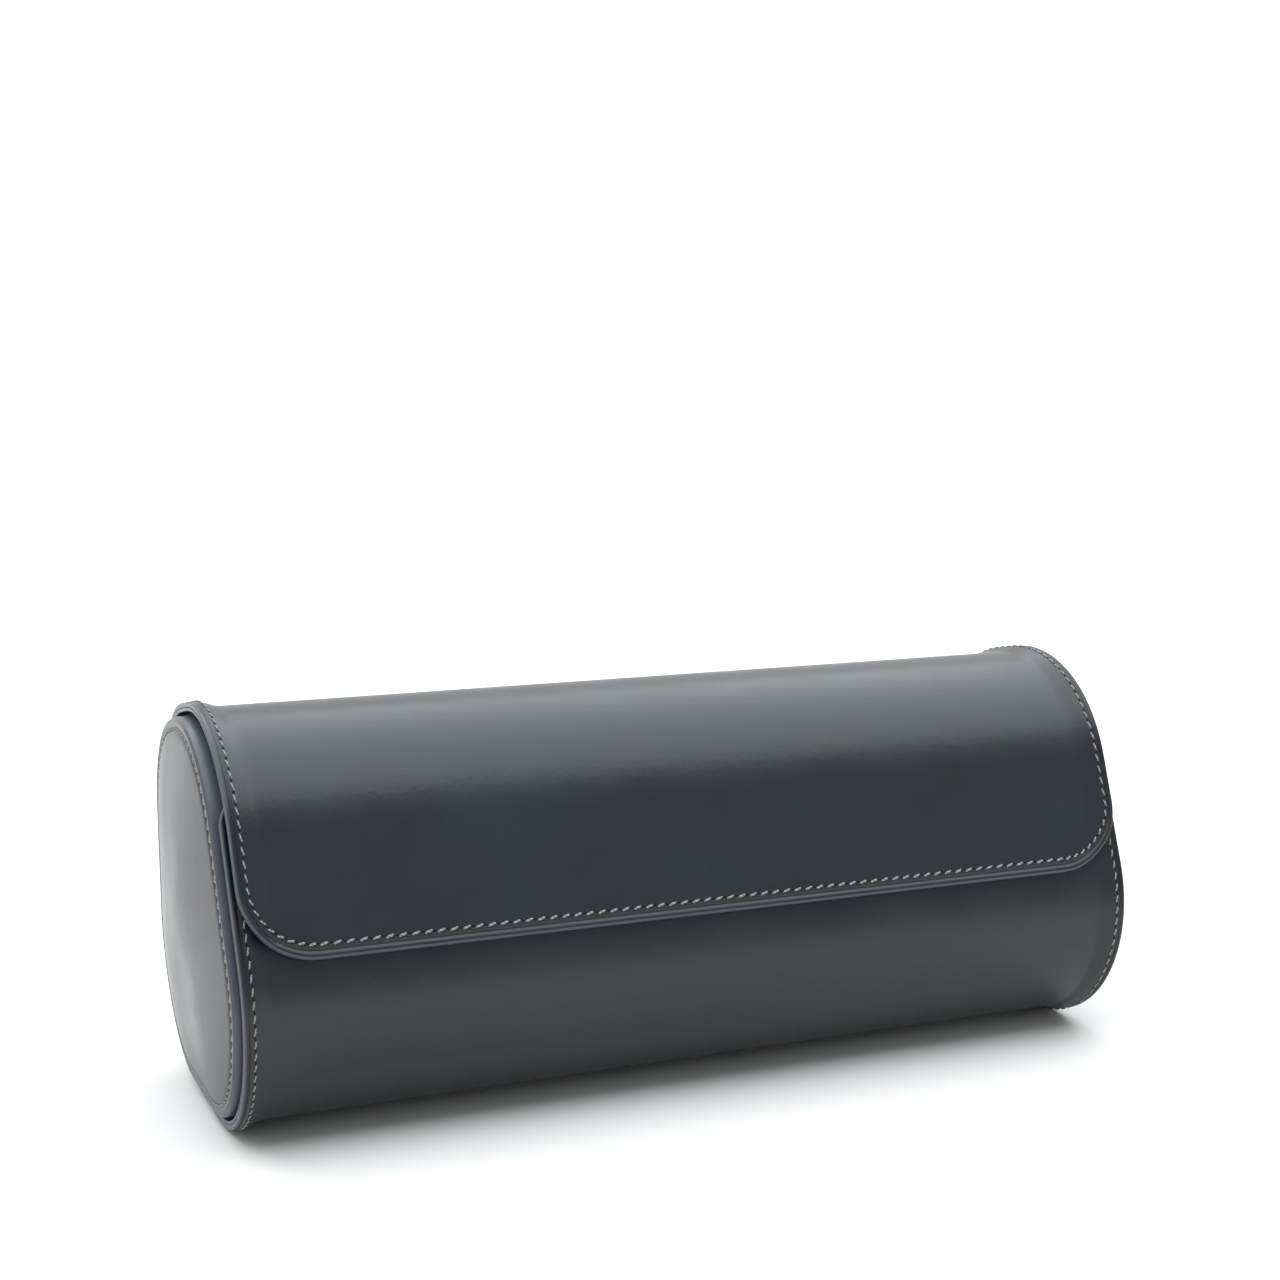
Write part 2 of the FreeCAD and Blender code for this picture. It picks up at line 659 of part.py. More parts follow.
def wall_binding():
    """Leather strip that closes the front wall's top edge."""
    body = new_body("front_wall_binding")
    outline = Outline(body, "front_wall_binding_section")
    roll = outline.trough(construction=True, rolled=True)[0]
    low = outline.sketch.Geometry[roll].StartPoint
    end_normal = 2 * UPRIGHT - size("front_lean") - size("wall_roll")
    stub = outline.line(low + unit(end_normal - UPRIGHT) * size("binding_height"), low, True)
    outline.rule("Tangent", stub, 2, roll, 1)
    outline.dimension("Distance", (stub,), size("binding_height"), "Sizes.binding_height")
    outline.dimension("Angle", (stub,), math.radians(end_normal + UPRIGHT),
                      "270 deg - (Sizes.front_lean + Sizes.wall_roll) * 1 deg")
    outline.wall_strip([stub], 0, 2, ("binding_height", -1), SUEDE)
    pad(body, outline, "front_wall_binding_run", doubled(LID_HALF))
    return body


def build_all():
    """Every piece of the roll."""
    nodes = [
        wall_layer("wrap_cover", (), COVER, doubled(RIM)),
        wall_layer("wrap_lining", COVER, SHEET, doubled(RIM)),
        wall_layer("shell_suede", BOARD, SUEDE, doubled(END_LINING_FACE)),
        wall_binding(),
        hinge_strip_case(),
        hinge_strip_lid(),
        flap_layer("flap_cover", (), COVER, doubled(FLAP_HALF), True),
        flap_layer("lid_board", SHEET, BOARD, doubled(LID_HALF), False),
        flap_layer("lid_suede", BOARD, SUEDE, doubled(LID_HALF), False),
    ]
    board = wall_layer("shell_board_blank", SHEET, BOARD, doubled(END_LINING_FACE))
    nodes += buttons_in("shell_board", board, "magnet", SHEET, ("board_gauge",))
    lining = flap_layer("flap_lining_blank", COVER, SHEET, doubled(FLAP_HALF), True)
    nodes += buttons_in("flap_lining", lining, "keeper", COVER, ("keeper_gauge",), LIFT)
    for word, side in SIDES:
        nodes.append(end_plate(f"end_{word}_lining", side, END_LINING_FACE, "Sizes.suede_gauge"))
        nodes.append(end_plate(f"end_{word}_board", side, END_FACE, "Sizes.end_board_gauge"))
        nodes.append(end_pad(f"end_{word}_pad", side))
        nodes.append(end_cover(f"end_{word}_cover", side))
        nodes += divider(f"divider_{word}", side)
    for word, place in (("left", -1), ("middle", 0), ("right", 1)):
        nodes += cushion(f"cushion_{word}", place)
    return nodes


def checked(nodes):
    """Stop if any object failed or any piece isn't a sound solid."""
    for item in doc.Objects:
        if "Invalid" in item.State or "Error" in item.State:
            raise RuntimeError(f"{item.Label} failed: {item.State}")
    for node in nodes:
        if node.Shape.isNull() or not node.Shape.isValid() or len(node.Shape.Solids) != 1:
            raise RuntimeError(f"{node.Label} is not one sound solid")


def main():
    nodes = build_all()
    doc.recompute()
    checked(nodes)
    os.makedirs("parts", exist_ok=True)
    for node in nodes:
        node.Shape.exportStep(f"parts/{node.Label}.step")
        print(node.Label, round(node.Shape.Volume, 1))
    section = Section()
    axis = section.hinge + unit(section.back_normal) * size("hinge_standoff")
    axis += unit(section.back_normal + UPRIGHT) * size("hinge_gap") / 2
    print("hinge axis y z", round(axis.x, 3), round(axis.y, 3))


main()
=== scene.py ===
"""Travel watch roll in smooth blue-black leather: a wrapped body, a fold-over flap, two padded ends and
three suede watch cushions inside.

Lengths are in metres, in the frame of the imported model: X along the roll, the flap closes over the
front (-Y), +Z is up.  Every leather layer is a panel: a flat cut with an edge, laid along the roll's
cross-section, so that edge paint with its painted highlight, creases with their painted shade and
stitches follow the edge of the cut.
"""

import math

import bmesh
import bpy
import numpy as np
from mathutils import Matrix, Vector


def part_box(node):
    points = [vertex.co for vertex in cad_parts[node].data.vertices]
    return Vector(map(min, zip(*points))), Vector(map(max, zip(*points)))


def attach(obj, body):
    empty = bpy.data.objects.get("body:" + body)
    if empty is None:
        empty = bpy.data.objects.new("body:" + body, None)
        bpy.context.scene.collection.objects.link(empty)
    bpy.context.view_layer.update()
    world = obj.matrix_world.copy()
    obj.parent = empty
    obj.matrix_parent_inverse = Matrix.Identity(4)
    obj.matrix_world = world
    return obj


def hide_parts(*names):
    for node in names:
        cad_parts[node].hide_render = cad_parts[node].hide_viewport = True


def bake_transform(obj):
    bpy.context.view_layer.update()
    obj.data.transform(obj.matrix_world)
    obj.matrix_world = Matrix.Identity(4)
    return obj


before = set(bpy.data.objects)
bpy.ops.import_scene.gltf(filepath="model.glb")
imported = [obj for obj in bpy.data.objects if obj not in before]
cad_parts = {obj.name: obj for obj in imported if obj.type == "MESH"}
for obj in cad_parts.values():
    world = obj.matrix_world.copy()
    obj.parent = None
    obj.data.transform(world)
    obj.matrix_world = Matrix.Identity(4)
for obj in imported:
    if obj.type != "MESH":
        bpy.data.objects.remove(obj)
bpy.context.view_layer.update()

MM = 0.001

# cross-section of the roll
BASE_FLAT = 21 * MM
BACK_BOTTOM_RADIUS = 36 * MM
BACK_LEAN = 7.0
BACK_FLAT = 25.4 * MM
BACK_TOP_RADIUS = 35 * MM
FRONT_TOP_RADIUS = 38 * MM
FRONT_FLAT = 28.4 * MM
FRONT_LEAN = 22.5
FRONT_BOTTOM_RADIUS = 34.5 * MM
FLAP_FRONT_RADIUS = 37.5 * MM
FLAP_FRONT = 29.1 * MM
WALL_ROLL = 16.0
LID_TRIM = 5.0
HINGE_GAP = 0.3 * MM
FACING_DOWN = 270.0
FACING_BACK = BACK_LEAN
FACING_FRONT = 180.0 - FRONT_LEAN

# leather
COVER_GAUGE = 1.3 * MM
LINING_GAUGE = 0.9 * MM
SHEET_GAUGE = COVER_GAUGE + LINING_GAUGE
WALL_GAP = 0.3 * MM
LIFT = SHEET_GAUGE + WALL_GAP
BOARD_GAUGE = 2.0 * MM
SUEDE_GAUGE = 0.8 * MM
INNER_FACE = SHEET_GAUGE + BOARD_GAUGE + SUEDE_GAUGE
WAIST = 1.4 * MM                # the body is this much slimmer than its rims
FLARE_START = 1.5 * MM
FLARE_END = 7.8 * MM
PARED = 8 * MM                  # past its board, leather goes from pared to full over this length
FLAP_CORNER = 17 * MM
WALL_CORNER = 7.5 * MM
BORDER = 9 * MM                 # strip along each edge that carries crease and stitches
DRAW_BEFORE = 10 * MM           # the flap starts to narrow this far before the hinge
DRAW_LENGTH = 35 * MM
PANEL_STEP = 1.6 * MM
CORNER_STEPS = 16
FAR_EDGE_STEP = 4 * MM

# seams
STITCH_PITCH = 3.0 * MM
STITCH_LENGTH = 2.1 * MM
THREAD_RADIUS = 0.3 * MM
THREAD_SLANT = 0.3 * MM         # each end of a stitch lies this far off the seam's line
THREAD_STAND = 0.1 * MM         # middle of a stitch above the leather
THREAD_SINK = 0.26 * MM         # its ends lie this much lower
THREAD_FLAT = 0.8               # height of the thread's section over its width
SEAM_INSET = 3.3 * MM           # edge to stitch line, along the flap's lower edge
SIDE_PINCH = 0.74               # the border is this much narrower along the rims
CREASE_INSET = 1.9 * MM
CREASE_WIDTH = 1.1 * MM
CREASE_DEPTH = 0.35 * MM
EDGE_AND_HIGHLIGHT_REACH = (0.3 * MM, 0.75 * MM)     # edge paint and its painted highlight are whole to here and gone from here
HOLE_SIZE = (0.5 * MM, 0.42 * MM)       # needle hole, along and across the seam

# padded ends
END_INSET = 3.1 * MM            # roll's outside to the end's edge
END_SEAT = 2.5 * MM             # the end's leather starts this far behind the rim
END_PROUD = 1.7 * MM
END_ROUND = 1.2 * MM
END_SEAM_INSET = 2.8 * MM
END_CROWN = 3.8 * MM
END_SKIN = 1.2 * MM
CROWN_REACH = 36 * MM
CHANNEL_DEPTH = 0.35 * MM       # the stitches pull the padding in
CHANNEL_WIDTH = 0.7 * MM
END_DEEP = 26 * MM              # outline moved in this far; further in, it shrinks to the middle
END_MIDDLE = (0.5 * MM, 47 * MM)

# inside
HINGE_STRIP_WIDTH = 9 * MM
HINGE_STRIP_SWEEP = 15.0
MAGNET_DROP = 11 * MM
MAGNET_SPREAD = 75 * MM
KEEPER_RADIUS = 6 * MM
BINDING_HEIGHT = 0.6 * MM
BINDING_PROUD = 0.1 * MM
CUSHION_SLACK = (0.95, 0.92, 0.92)      # sewn size over filled size
CUSHION_SQUARE = 3.2            # degree of the superellipse across a cushion
CUSHION_VOXEL = 4 * MM
CUSHION_PRESSURE = 4.0
CUSHION_STIFFNESS = 25.0
CUSHION_STEPS = 20
CUSHION_CAP = 5 * MM            # the filling moves no point further than this
CUSHION_CLEAR = 0.2 * MM

# colours and roughness
LEATHER_DEEP = "#14181c"
LEATHER_WORN = "#1a1f23"
LEATHER_ROUGH = (0.30, 0.37)
# lighter edge colour: partly the real edge paint, partly painted highlight where the rounded edge catches the
# light
PAINTED_EDGE_AND_HIGHLIGHT = "#3f454e"
# painted shade for the crease's groove
CREASE_PAINTED_SHADE = "#08090a"
# painted shade for the needle holes
HOLE_PAINTED_SHADE = "#020202"
THREAD_DARK = "#64686a"
THREAD_LIGHT = "#94989a"
STAGE_PAPER = "#e8e4e1"

# stage, light and camera
STAGE_FLOOR = 1.6
STAGE_BEND = 1.2
STAGE_WALL = 2.6
STAGE_OPEN = 0.35               # share of the depth over which the wall fades, either side of the middle
STUDIO_LIGHT = (0.94, 1.0, 1.04)
SKY_STRENGTH = 0.55
VIEW_AZIMUTH = -22.97
VIEW_ELEVATION = 14.97
VIEW_PLACE = (2.3054, -0.0084, -0.0163)     # back, right and up from the roll's middle, in roll lengths
VIEW_MIDDLE = (0, 0.8 * MM, 47.8 * MM)
SENSOR_WIDTH = 36.0
LENS = 58.17
LENS_SHIFT = 0.189

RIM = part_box("wrap_cover")[1][0]
FLAP_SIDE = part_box("flap_cover")[1][0]
LID_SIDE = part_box("lid_board")[1][0]


# ---------------------------------------------------------------- shapes

def unit(degrees):
    """Unit vector (y, z) at an angle."""
    return np.array([math.cos(math.radians(degrees)), math.sin(math.radians(degrees))])


def smooth(value):
    """Smooth step: 3v^2 - 2v^3 between 0 and 1."""
    value = np.clip(value, 0, 1)
    return value * value * (3 - 2 * value)


class Path:
    """A smooth run of lines and arcs across the roll, at the nominal outside of the leather.

    On a line a point is start + length * direction; on an arc it is centre + radius * (cos, sin).
    The normal always looks outwards; sense is 1 where the run goes round with its normal turning
    anticlockwise, seen from +X, and -1 where it turns back.
    """

    def __init__(self, start, facing, sense, pieces):
        self.pieces = []
        self.sense = sense
        point = np.array(start, float)
        begin = 0.0
        for kind, amount, *radius in pieces:
            if kind == "line":
                self.pieces.append((begin, point, facing, None))
                point = point + unit(facing + 90 * sense) * amount
                begin += amount
            else:
                centre = point - unit(facing) * radius[0]
                self.pieces.append((begin, centre, facing, radius[0]))
                begin += math.radians(amount) * radius[0]
                facing += amount * sense
                point = centre + unit(facing) * radius[0]
        self.length = begin
        self.end = point

    def at(self, lengths):
        """Points and outward normals, each (..., 2), at lengths along the run."""
        lengths = np.asarray(lengths, float)
        points = np.zeros(lengths.shape + (2,))
        normals = np.zeros(lengths.shape + (2,))
        for begin, anchor, facing, radius in self.pieces:
            here = lengths >= begin - 1e-9
            run = lengths[here] - begin
            turned = self.sense * run / radius if radius else 0 * run
            angle = math.radians(facing) + turned
            normal = np.stack([np.cos(angle), np.sin(angle)], axis=-1)
            along = np.outer(run, unit(facing + 90 * self.sense))
            points[here] = anchor + (normal * radius if radius else along)
            normals[here] = normal
        return points, normals

    def stations(self, step, *marks):
        """Lengths about a step apart, with every joint between pieces among them."""
        joints = sorted({0.0, self.length, *(piece[0] for piece in self.pieces), *marks})
        runs = [np.linspace(low, high, max(2, math.ceil((high - low) / step) + 1))[:-1]
                for low, high in zip(joints, joints[1:])]
        return np.append(np.concatenate(runs), self.length)


def shoulder(front_radius, lift, split):
    """The roll's rounded top: back arc, short flat and front arc, as path pieces.

    The two arcs' centres stand square off the back wall's top and off the front wall's head; the
    flat's normal solves (front centre - back centre) . n = back radius - front radius.
    """
    back_foot = np.array([BASE_FLAT / 2, BACK_BOTTOM_RADIUS]) + unit(FACING_BACK) * BACK_BOTTOM_RADIUS
    head = back_foot + unit(FACING_BACK + 90) * (BACK_FLAT + split)
    front_foot = np.array([-BASE_FLAT / 2, FRONT_BOTTOM_RADIUS]) + unit(FACING_FRONT) * FRONT_BOTTOM_RADIUS
    front_head = front_foot + unit(FACING_FRONT - 90) * FRONT_FLAT
    back_centre = head - unit(FACING_BACK) * BACK_TOP_RADIUS
    front_centre = front_head - unit(FACING_FRONT) * (front_radius - lift)
    apart = back_centre - front_centre
    distance = np.hypot(*apart)
    growth = front_radius - BACK_TOP_RADIUS
    facing = math.degrees(math.atan2(apart[1], apart[0]) + math.acos(growth / distance))
    return [
        ("arc", facing - FACING_BACK, BACK_TOP_RADIUS),
        ("line", math.sqrt(distance ** 2 - growth ** 2)),
        ("arc", FACING_FRONT - facing, front_radius),
    ]


BACK_WALL = [("arc", 90 + BACK_LEAN, BACK_BOTTOM_RADIUS), ("line", BACK_FLAT)]
SEAM_POINT = (BASE_FLAT / 2, 0.0)
FLAP_RUN = Path(SEAM_POINT, FACING_DOWN, 1,
                [*BACK_WALL, ("line", HINGE_GAP), *shoulder(FLAP_FRONT_RADIUS, LIFT, HINGE_GAP),
                 ("line", FLAP_FRONT)])
WALL_RUN = Path(SEAM_POINT, FACING_DOWN, -1,
                [("line", BASE_FLAT), ("arc", 90 + FRONT_LEAN, FRONT_BOTTOM_RADIUS), ("line", FRONT_FLAT),
                 ("arc", WALL_ROLL, FLAP_FRONT_RADIUS - LIFT)])
END_RUN = Path((-BASE_FLAT / 2, 0.0), FACING_DOWN, 1,
               [("line", BASE_FLAT), *BACK_WALL, *shoulder(FRONT_TOP_RADIUS, 0.0, 0.0),
                ("line", FRONT_FLAT), ("arc", 90 + FRONT_LEAN, FRONT_BOTTOM_RADIUS)])
HINGE_LENGTH = FLAP_RUN.pieces[2][0]


class Panel:
    """A leather cut along a path: straight sides, a far edge and two rounded corners.

    Its border is measured by t, the length round the edge from one side's start to the other's, and
    by d, the distance in from the edge, which shrinks by the pinch along the sides.  Up to a length
    called backed it is glued to board, where it is pared thin.
    """

    def __init__(self, run, half_width, corner, backed, edge_pinch):
        self.run = run
        self.half_width = half_width
        self.corner = corner
        self.backed = backed
        self.edge_pinch = edge_pinch
        self.tip = run.length
        self.side = run.length - corner
        self.bottom = float(half_width(np.array(self.tip))) - corner
        self.turn = corner * math.pi / 2
        self.total = 2 * (self.side + self.turn + self.bottom)

    def border(self, t, d):
        """Flat position (x, s) of a border point: the side, then the corner's arc, then the edge."""
        t, d = np.broadcast_arrays(np.asarray(t, float), np.asarray(d, float))
        mirrored = t > self.total / 2
        t = np.where(mirrored, self.total - t, t)
        angle = np.clip((t - self.side) / self.corner, 0, math.pi / 2)
        d = d * (SIDE_PINCH + (self.edge_pinch - SIDE_PINCH) * smooth((t - self.side) / self.turn))
        reach = self.corner - d
        x = -self.bottom - self.corner - (self.half_width(t) - self.bottom - self.corner) + d
        s = np.minimum(t, self.side)
        turning = t > self.side
        x = np.where(turning, -self.bottom - reach * np.cos(angle), x)
        s = np.where(turning, self.side + reach * np.sin(angle), s)
        x = np.where(t > self.side + self.turn, x + t - self.side - self.turn, x)
        return np.where(mirrored, -x, x), s

    def place(self, x, s, height, depth):
        """Point in space: the path at s, moved out by a height and in by the body's waist.

        The outside follows the whole waist; over board, a surface follows it less the deeper it lies
        in the sheet, in proportion, and the sheet's inner face not at all.
        """
        points, normals = self.run.at(s)
        inside = self.half_width(s) - np.abs(x)
        follow = 1 - depth / SHEET_GAUGE * smooth((self.backed - s) / PARED)
        height = height - WAIST * follow * smooth((inside - FLARE_START) / (FLARE_END - FLARE_START))
        across = points + normals * np.asarray(height)[..., None]
        return np.stack([x, across[..., 0], across[..., 1]], axis=-1)

    def border_stations(self, step):
        """Border lengths: close enough round the arcs, with each corner's middle among them."""
        side = self.run.stations(step, self.side)
        side = side[side < self.side - 1e-6]
        corner = self.side + self.turn * np.linspace(0, 1, CORNER_STEPS + 1)
        count = round(2 * self.bottom / FAR_EDGE_STEP)
        edge = self.side + self.turn + np.linspace(0, 2 * self.bottom, count)
        half = np.concatenate([side, corner])
        return half, np.concatenate([half[:-1], edge, self.total - half[:-1][::-1]])


def edge_profile(gauge, crease):
    """Section of a layer at its edge: (d, height) over the outside, round the edge and back inside.

    The outside dips by a crease, a bell curve of the distance from it; both corners of the edge are
    quarter circles.
    """
    turn = gauge * 0.42
    flat = np.array([9, 7.6, 6.4, 5.4, 4.6, 3.9, 3.3, 2.9, 2.6,
                     2.35, 2.15, 2.0, 1.9, 1.8, 1.6, 1.35, 1.1, 0.85]) * MM
    dip = crease * np.exp(-((flat - CREASE_INSET) / (0.5 * CREASE_WIDTH)) ** 2)
    round_angle = np.linspace(0, math.pi / 2, 5)
    outside = np.stack([flat, -dip], axis=-1)
    over = np.stack([turn * (1 - np.sin(round_angle)), turn * (np.cos(round_angle) - 1)], axis=-1)
    under = np.stack([over[::-1, 0], -gauge - over[::-1, 1]], axis=-1)
    inside = np.stack([flat[::-1][::3], np.full(6, -gauge)], axis=-1)
    inside = np.concatenate([inside[:-1], [[flat[0], -gauge]]])
    return np.concatenate([outside, over, under, inside])


def quad_mesh(name, grids):
    """One closed mesh from grids of points (n, m, 3), each with its own UV (n, m, 2)."""
    points = np.concatenate([grid.reshape(-1, 3) for grid, _ in grids])
    flat_uv = np.concatenate([uv.reshape(-1, 2) for _, uv in grids])
    faces = []
    start = 0
    for grid, _ in grids:
        rows, columns = grid.shape[:2]
        index = start + np.arange(rows * columns).reshape(rows, columns)
        corners = [index[:-1, :-1], index[1:, :-1], index[1:, 1:], index[:-1, 1:]]
        faces.append(np.stack(corners, axis=-1).reshape(-1, 4))
        start += rows * columns
    faces = np.concatenate(faces)
    mesh = bpy.data.meshes.new(name)
    mesh.from_pydata(points, [], faces)
    layer = mesh.uv_layers.new(name="edge")
    layer.data.foreach_set("uv", flat_uv[faces.reshape(-1)].astype(np.float32).reshape(-1))
    tidy_mesh(mesh)
    piece = bpy.data.objects.new(name, mesh)
    bpy.context.scene.collection.objects.link(piece)
    return piece


def tidy_mesh(mesh):
    """Join points that meet, drop faces with no area, turn every face outwards and shade smooth."""
    work = bmesh.new()
    work.from_mesh(mesh)
    bmesh.ops.remove_doubles(work, verts=work.verts, dist=2e-6)
    bmesh.ops.dissolve_degenerate(work, edges=work.edges, dist=1e-7)
    bmesh.ops.recalc_face_normals(work, faces=work.faces)
    work.to_mesh(mesh)
    work.free()
    mesh.polygons.foreach_set("use_smooth", [True] * len(mesh.polygons))
    mesh.update()


def panel_piece(name, panel, inset, gauge, crease):
    """A whole layer of a panel: a strip round its border and a patch in the middle of each side."""
    half, t = panel.border_stations(PANEL_STEP)
    profile = edge_profile(gauge, crease)
    x, s = panel.border(t[:, None], profile[None, :, 0])
    heights = np.broadcast_to(profile[None, :, 1] - inset, x.shape)
    depths = np.where(np.arange(len(profile)) < len(profile) // 2, inset, inset + gauge)
    strip = panel.place(x, s, heights, depths)
    even = STITCH_PITCH * round(panel.total / STITCH_PITCH) / panel.total
    wrapped = even * t[:, None] * np.ones(len(profile))
    strip_uv = np.stack([wrapped, np.broadcast_to(profile[None, :, 0], x.shape)], axis=-1)
    grids = [(strip, strip_uv)]
    corner = len(half) - 1 - CORNER_STEPS // 2
    for depth in (inset, inset + gauge):
        patch_x, patch_s = middle_patch(panel, t, corner)
        patch = panel.place(patch_x, patch_s, np.full(patch_x.shape, -depth), depth)
        patch_uv = np.stack([patch_x, np.full(patch_x.shape, 2 * BORDER)], axis=-1)
        grids.append((patch, patch_uv))
    half_count = len(profile) // 2
    for row in (0, -1):
        cap = np.stack([strip[row, :half_count], strip[row, ::-1][:half_count]])
        cap_uv = np.full(cap.shape[:2] + (2,), 2 * BORDER)
        grids.append((cap, cap_uv))
    seam = np.stack([grids[1][0][0], grids[2][0][0]])
    grids.append((seam, np.full(seam.shape[:2] + (2,), 2 * BORDER)))
    return quad_mesh(name, grids)


def middle_patch(panel, t, corner):
    """Flat positions inside the border: rows join the two sides and bend to meet the far edge.

    It is a blend of the two sides by x and of the start and far edge by s; the far edge's bend fades
    with the eighth power of the way along, so rows stay level over the rounded walls.
    """
    left_x, left_s = panel.border(t[:corner + 1], BORDER)
    far_x, far_s = panel.border(t[corner:len(t) - corner], BORDER)
    share = (far_x - far_x[0]) / (far_x[-1] - far_x[0])
    way = left_s / left_s[-1]
    bend = (way ** 8)[:, None] * (far_s - far_s[0])[None, :]
    x = left_x[:, None] * (1 - 2 * share[None, :])
    return x, left_s[:, None] + bend


# ---------------------------------------------------------------- seams

def stitches(name, place, total, first, last):
    """A run of thread, one small tube for each stitch.

    Each tube's centre line is an arch, sunk at both ends; its radius shrinks to the ends as
    (1 - a^4)^(1/2) for a from -1 to 1, and it lies a little across the seam.
    """
    count = round(total / STITCH_PITCH)
    pitch = total / count
    centres = (np.arange(count) + 0.5) * pitch
    centres = centres[(centres > first) & (centres < last)][:, None, None]
    a = np.linspace(-1, 1, 9)[None, :, None]
    turn = np.linspace(0, 2 * math.pi, 9)[None, None, :]
    radius = THREAD_RADIUS * np.sqrt(np.clip(1 - a ** 4, 0, 1))
    t = centres + a * STITCH_LENGTH / 2 + 0 * turn
    d = THREAD_SLANT * a + radius * np.cos(turn) + 0 * centres
    height = THREAD_STAND - THREAD_SINK * a ** 4 + THREAD_FLAT * radius * np.sin(turn) + 0 * centres
    tubes = place(t, d, height)
    uv = np.stack([t, np.broadcast_to(turn, t.shape) * THREAD_RADIUS], axis=-1)
    return quad_mesh(name, list(zip(tubes, uv)))


def panel_stitches(name, panel, first, last):
    """Stitches along a panel's border."""
    def place(t, d, height):
        x, s = panel.border(t, SEAM_INSET + d)
        return panel.place(x, s, height, 0.0)
    return stitches(name, place, panel.total, first, last)


# ---------------------------------------------------------------- padded ends

def crown(inward):
    """Height of the padded end over its edge: a quarter sine that rises from the seam inwards, less
    a stitch channel and the edge's rounding."""
    rise = END_CROWN * np.sin(math.pi / 2 * np.clip((inward - END_SEAM_INSET) / CROWN_REACH, 0, 1))
    channel = CHANNEL_DEPTH * np.exp(-((inward - END_SEAM_INSET) / CHANNEL_WIDTH) ** 2)
    short = np.clip(END_ROUND - inward, 0, None)
    drop = END_ROUND - np.sqrt(np.clip(END_ROUND ** 2 - short ** 2, 0, None))
    return rise - channel - drop


def end_rings(skin):
    """Rings of an end's surface from its middle to its seat: (inset, share, height over the rim).

    Inset moves the outline in; share then shrinks it towards the middle, where insets run out.
    """
    share = np.linspace(0, 1, 9)[:-1]
    inward = np.array([26, 23, 20, 17, 14, 11, 9, 7.2, 6, 5,
                       4.3, 3.8, 3.4, 3.1, 2.8, 2.5, 2.2, 1.9, 1.5]) * MM
    arc = END_ROUND * (1 - np.sin(np.linspace(0, math.pi / 2, 7)))
    inward = np.concatenate([inward, arc])
    spread = np.concatenate([END_DEEP + (1 - share) * (CROWN_REACH - END_DEEP), inward])
    height = END_PROUD + crown(spread) - skin
    inset = np.concatenate([np.full(len(share), END_DEEP), inward])
    share = np.concatenate([share, np.ones(len(inward))])
    wall = np.linspace(height[-1], -END_SEAT, 5)[1:]
    inset = np.concatenate([inset, np.zeros(len(wall))]) + END_INSET + skin
    share = np.concatenate([share, np.ones(len(wall))])
    return inset, share, np.concatenate([height, wall])


def end_surface(side, s, inset, share, height):
    """Points of a ring: the end's outline moved in, shrunk towards its middle and set out from the rim."""
    points, normals = END_RUN.at(s)
    middle = np.array(END_MIDDLE)
    across = middle + (points - normals * inset[..., None] - middle) * share[..., None]
    x = side * (RIM + height)
    return np.stack([np.broadcast_to(x, across.shape[:-1]), across[..., 0], across[..., 1]], axis=-1)


def seam_lengths(s, inset):
    """Length along the end's outline, moved in, at each station."""
    points, normals = END_RUN.at(s)
    line = points - normals * inset
    steps = np.hypot(*np.diff(line, axis=0).T)
    return np.concatenate([[0], np.cumsum(steps)])


def end_grid(side, skin):
    """Grid and UV of one end's surface, ring by ring."""
    s = END_RUN.stations(1.8 * MM)
    inset, share, height = end_rings(skin)
    s_grid = np.broadcast_to(s, (len(inset), len(s)))
    spread = [np.broadcast_to(v[:, None], s_grid.shape) for v in (inset, share, height)]
    grid = end_surface(side, s_grid, *spread)
    lengths = seam_lengths(s, END_INSET + END_SEAM_INSET)
    scale = STITCH_PITCH * round(lengths[-1] / STITCH_PITCH) / lengths[-1]
    inward = np.where(share == 1, inset - END_INSET - skin, END_DEEP)
    uv = np.stack([np.broadcast_to(lengths * scale, s_grid.shape),
                   np.broadcast_to(inward[:, None], s_grid.shape)], axis=-1)
    return grid, uv


def end_cover(name, side):
    """Leather cup over one end: outer and inner surface, joined at the seat."""
    outer, outer_uv = end_grid(side, 0.0)
    inner, inner_uv = end_grid(side, END_SKIN)
    seat = np.stack([outer[-1], inner[-1]])
    seat_uv = np.stack([outer_uv[-1], inner_uv[-1]])
    return quad_mesh(name, [(outer, outer_uv), (inner, inner_uv), (seat, seat_uv)])


def end_pad(name, side):
    """Foam inside the cup, closed flat at the seat."""
    clear = 0.05 * MM
    outer, uv = end_grid(side, END_SKIN + clear)
    middle = np.broadcast_to(outer[-1].mean(axis=0), outer[-1].shape)
    seat = np.stack([outer[-1], middle])
    return quad_mesh(name, [(outer, uv), (seat, np.stack([uv[-1], uv[-1]]))])


def end_stitches(name, side):
    """Stitches round one padded end."""
    s = END_RUN.stations(1.0 * MM)
    lengths = seam_lengths(s, END_INSET + END_SEAM_INSET)

    def place(t, d, height):
        inward = END_SEAM_INSET + d
        outline = np.interp(t, lengths, s)
        share = np.ones(t.shape)
        return end_surface(side, outline, END_INSET + inward, share, END_PROUD + crown(inward) + height)
    return stitches(name, place, lengths[-1], 0, lengths[-1])


# ---------------------------------------------------------------- finishes

def linear(code):
    """Linear colour, with alpha, of an sRGB hex code."""
    channels = [int(code[k:k + 2], 16) / 255 for k in (1, 3, 5)]
    return [c / 12.92 if c <= 0.04045 else ((c + 0.055) / 1.055) ** 2.4 for c in channels] + [1.0]


def add(tree, kind, links=(), values=(), **settings):
    """Add a node, with its settings, the values of its inputs and what is plugged into them."""
    node = tree.nodes.new(kind)
    for key, value in settings.items():
        setattr(node, key, value)
    for key, value in dict(values).items():
        node.inputs[key].default_value = value
    for key, socket in dict(links).items():
        tree.links.new(socket, node.inputs[key])
    return node


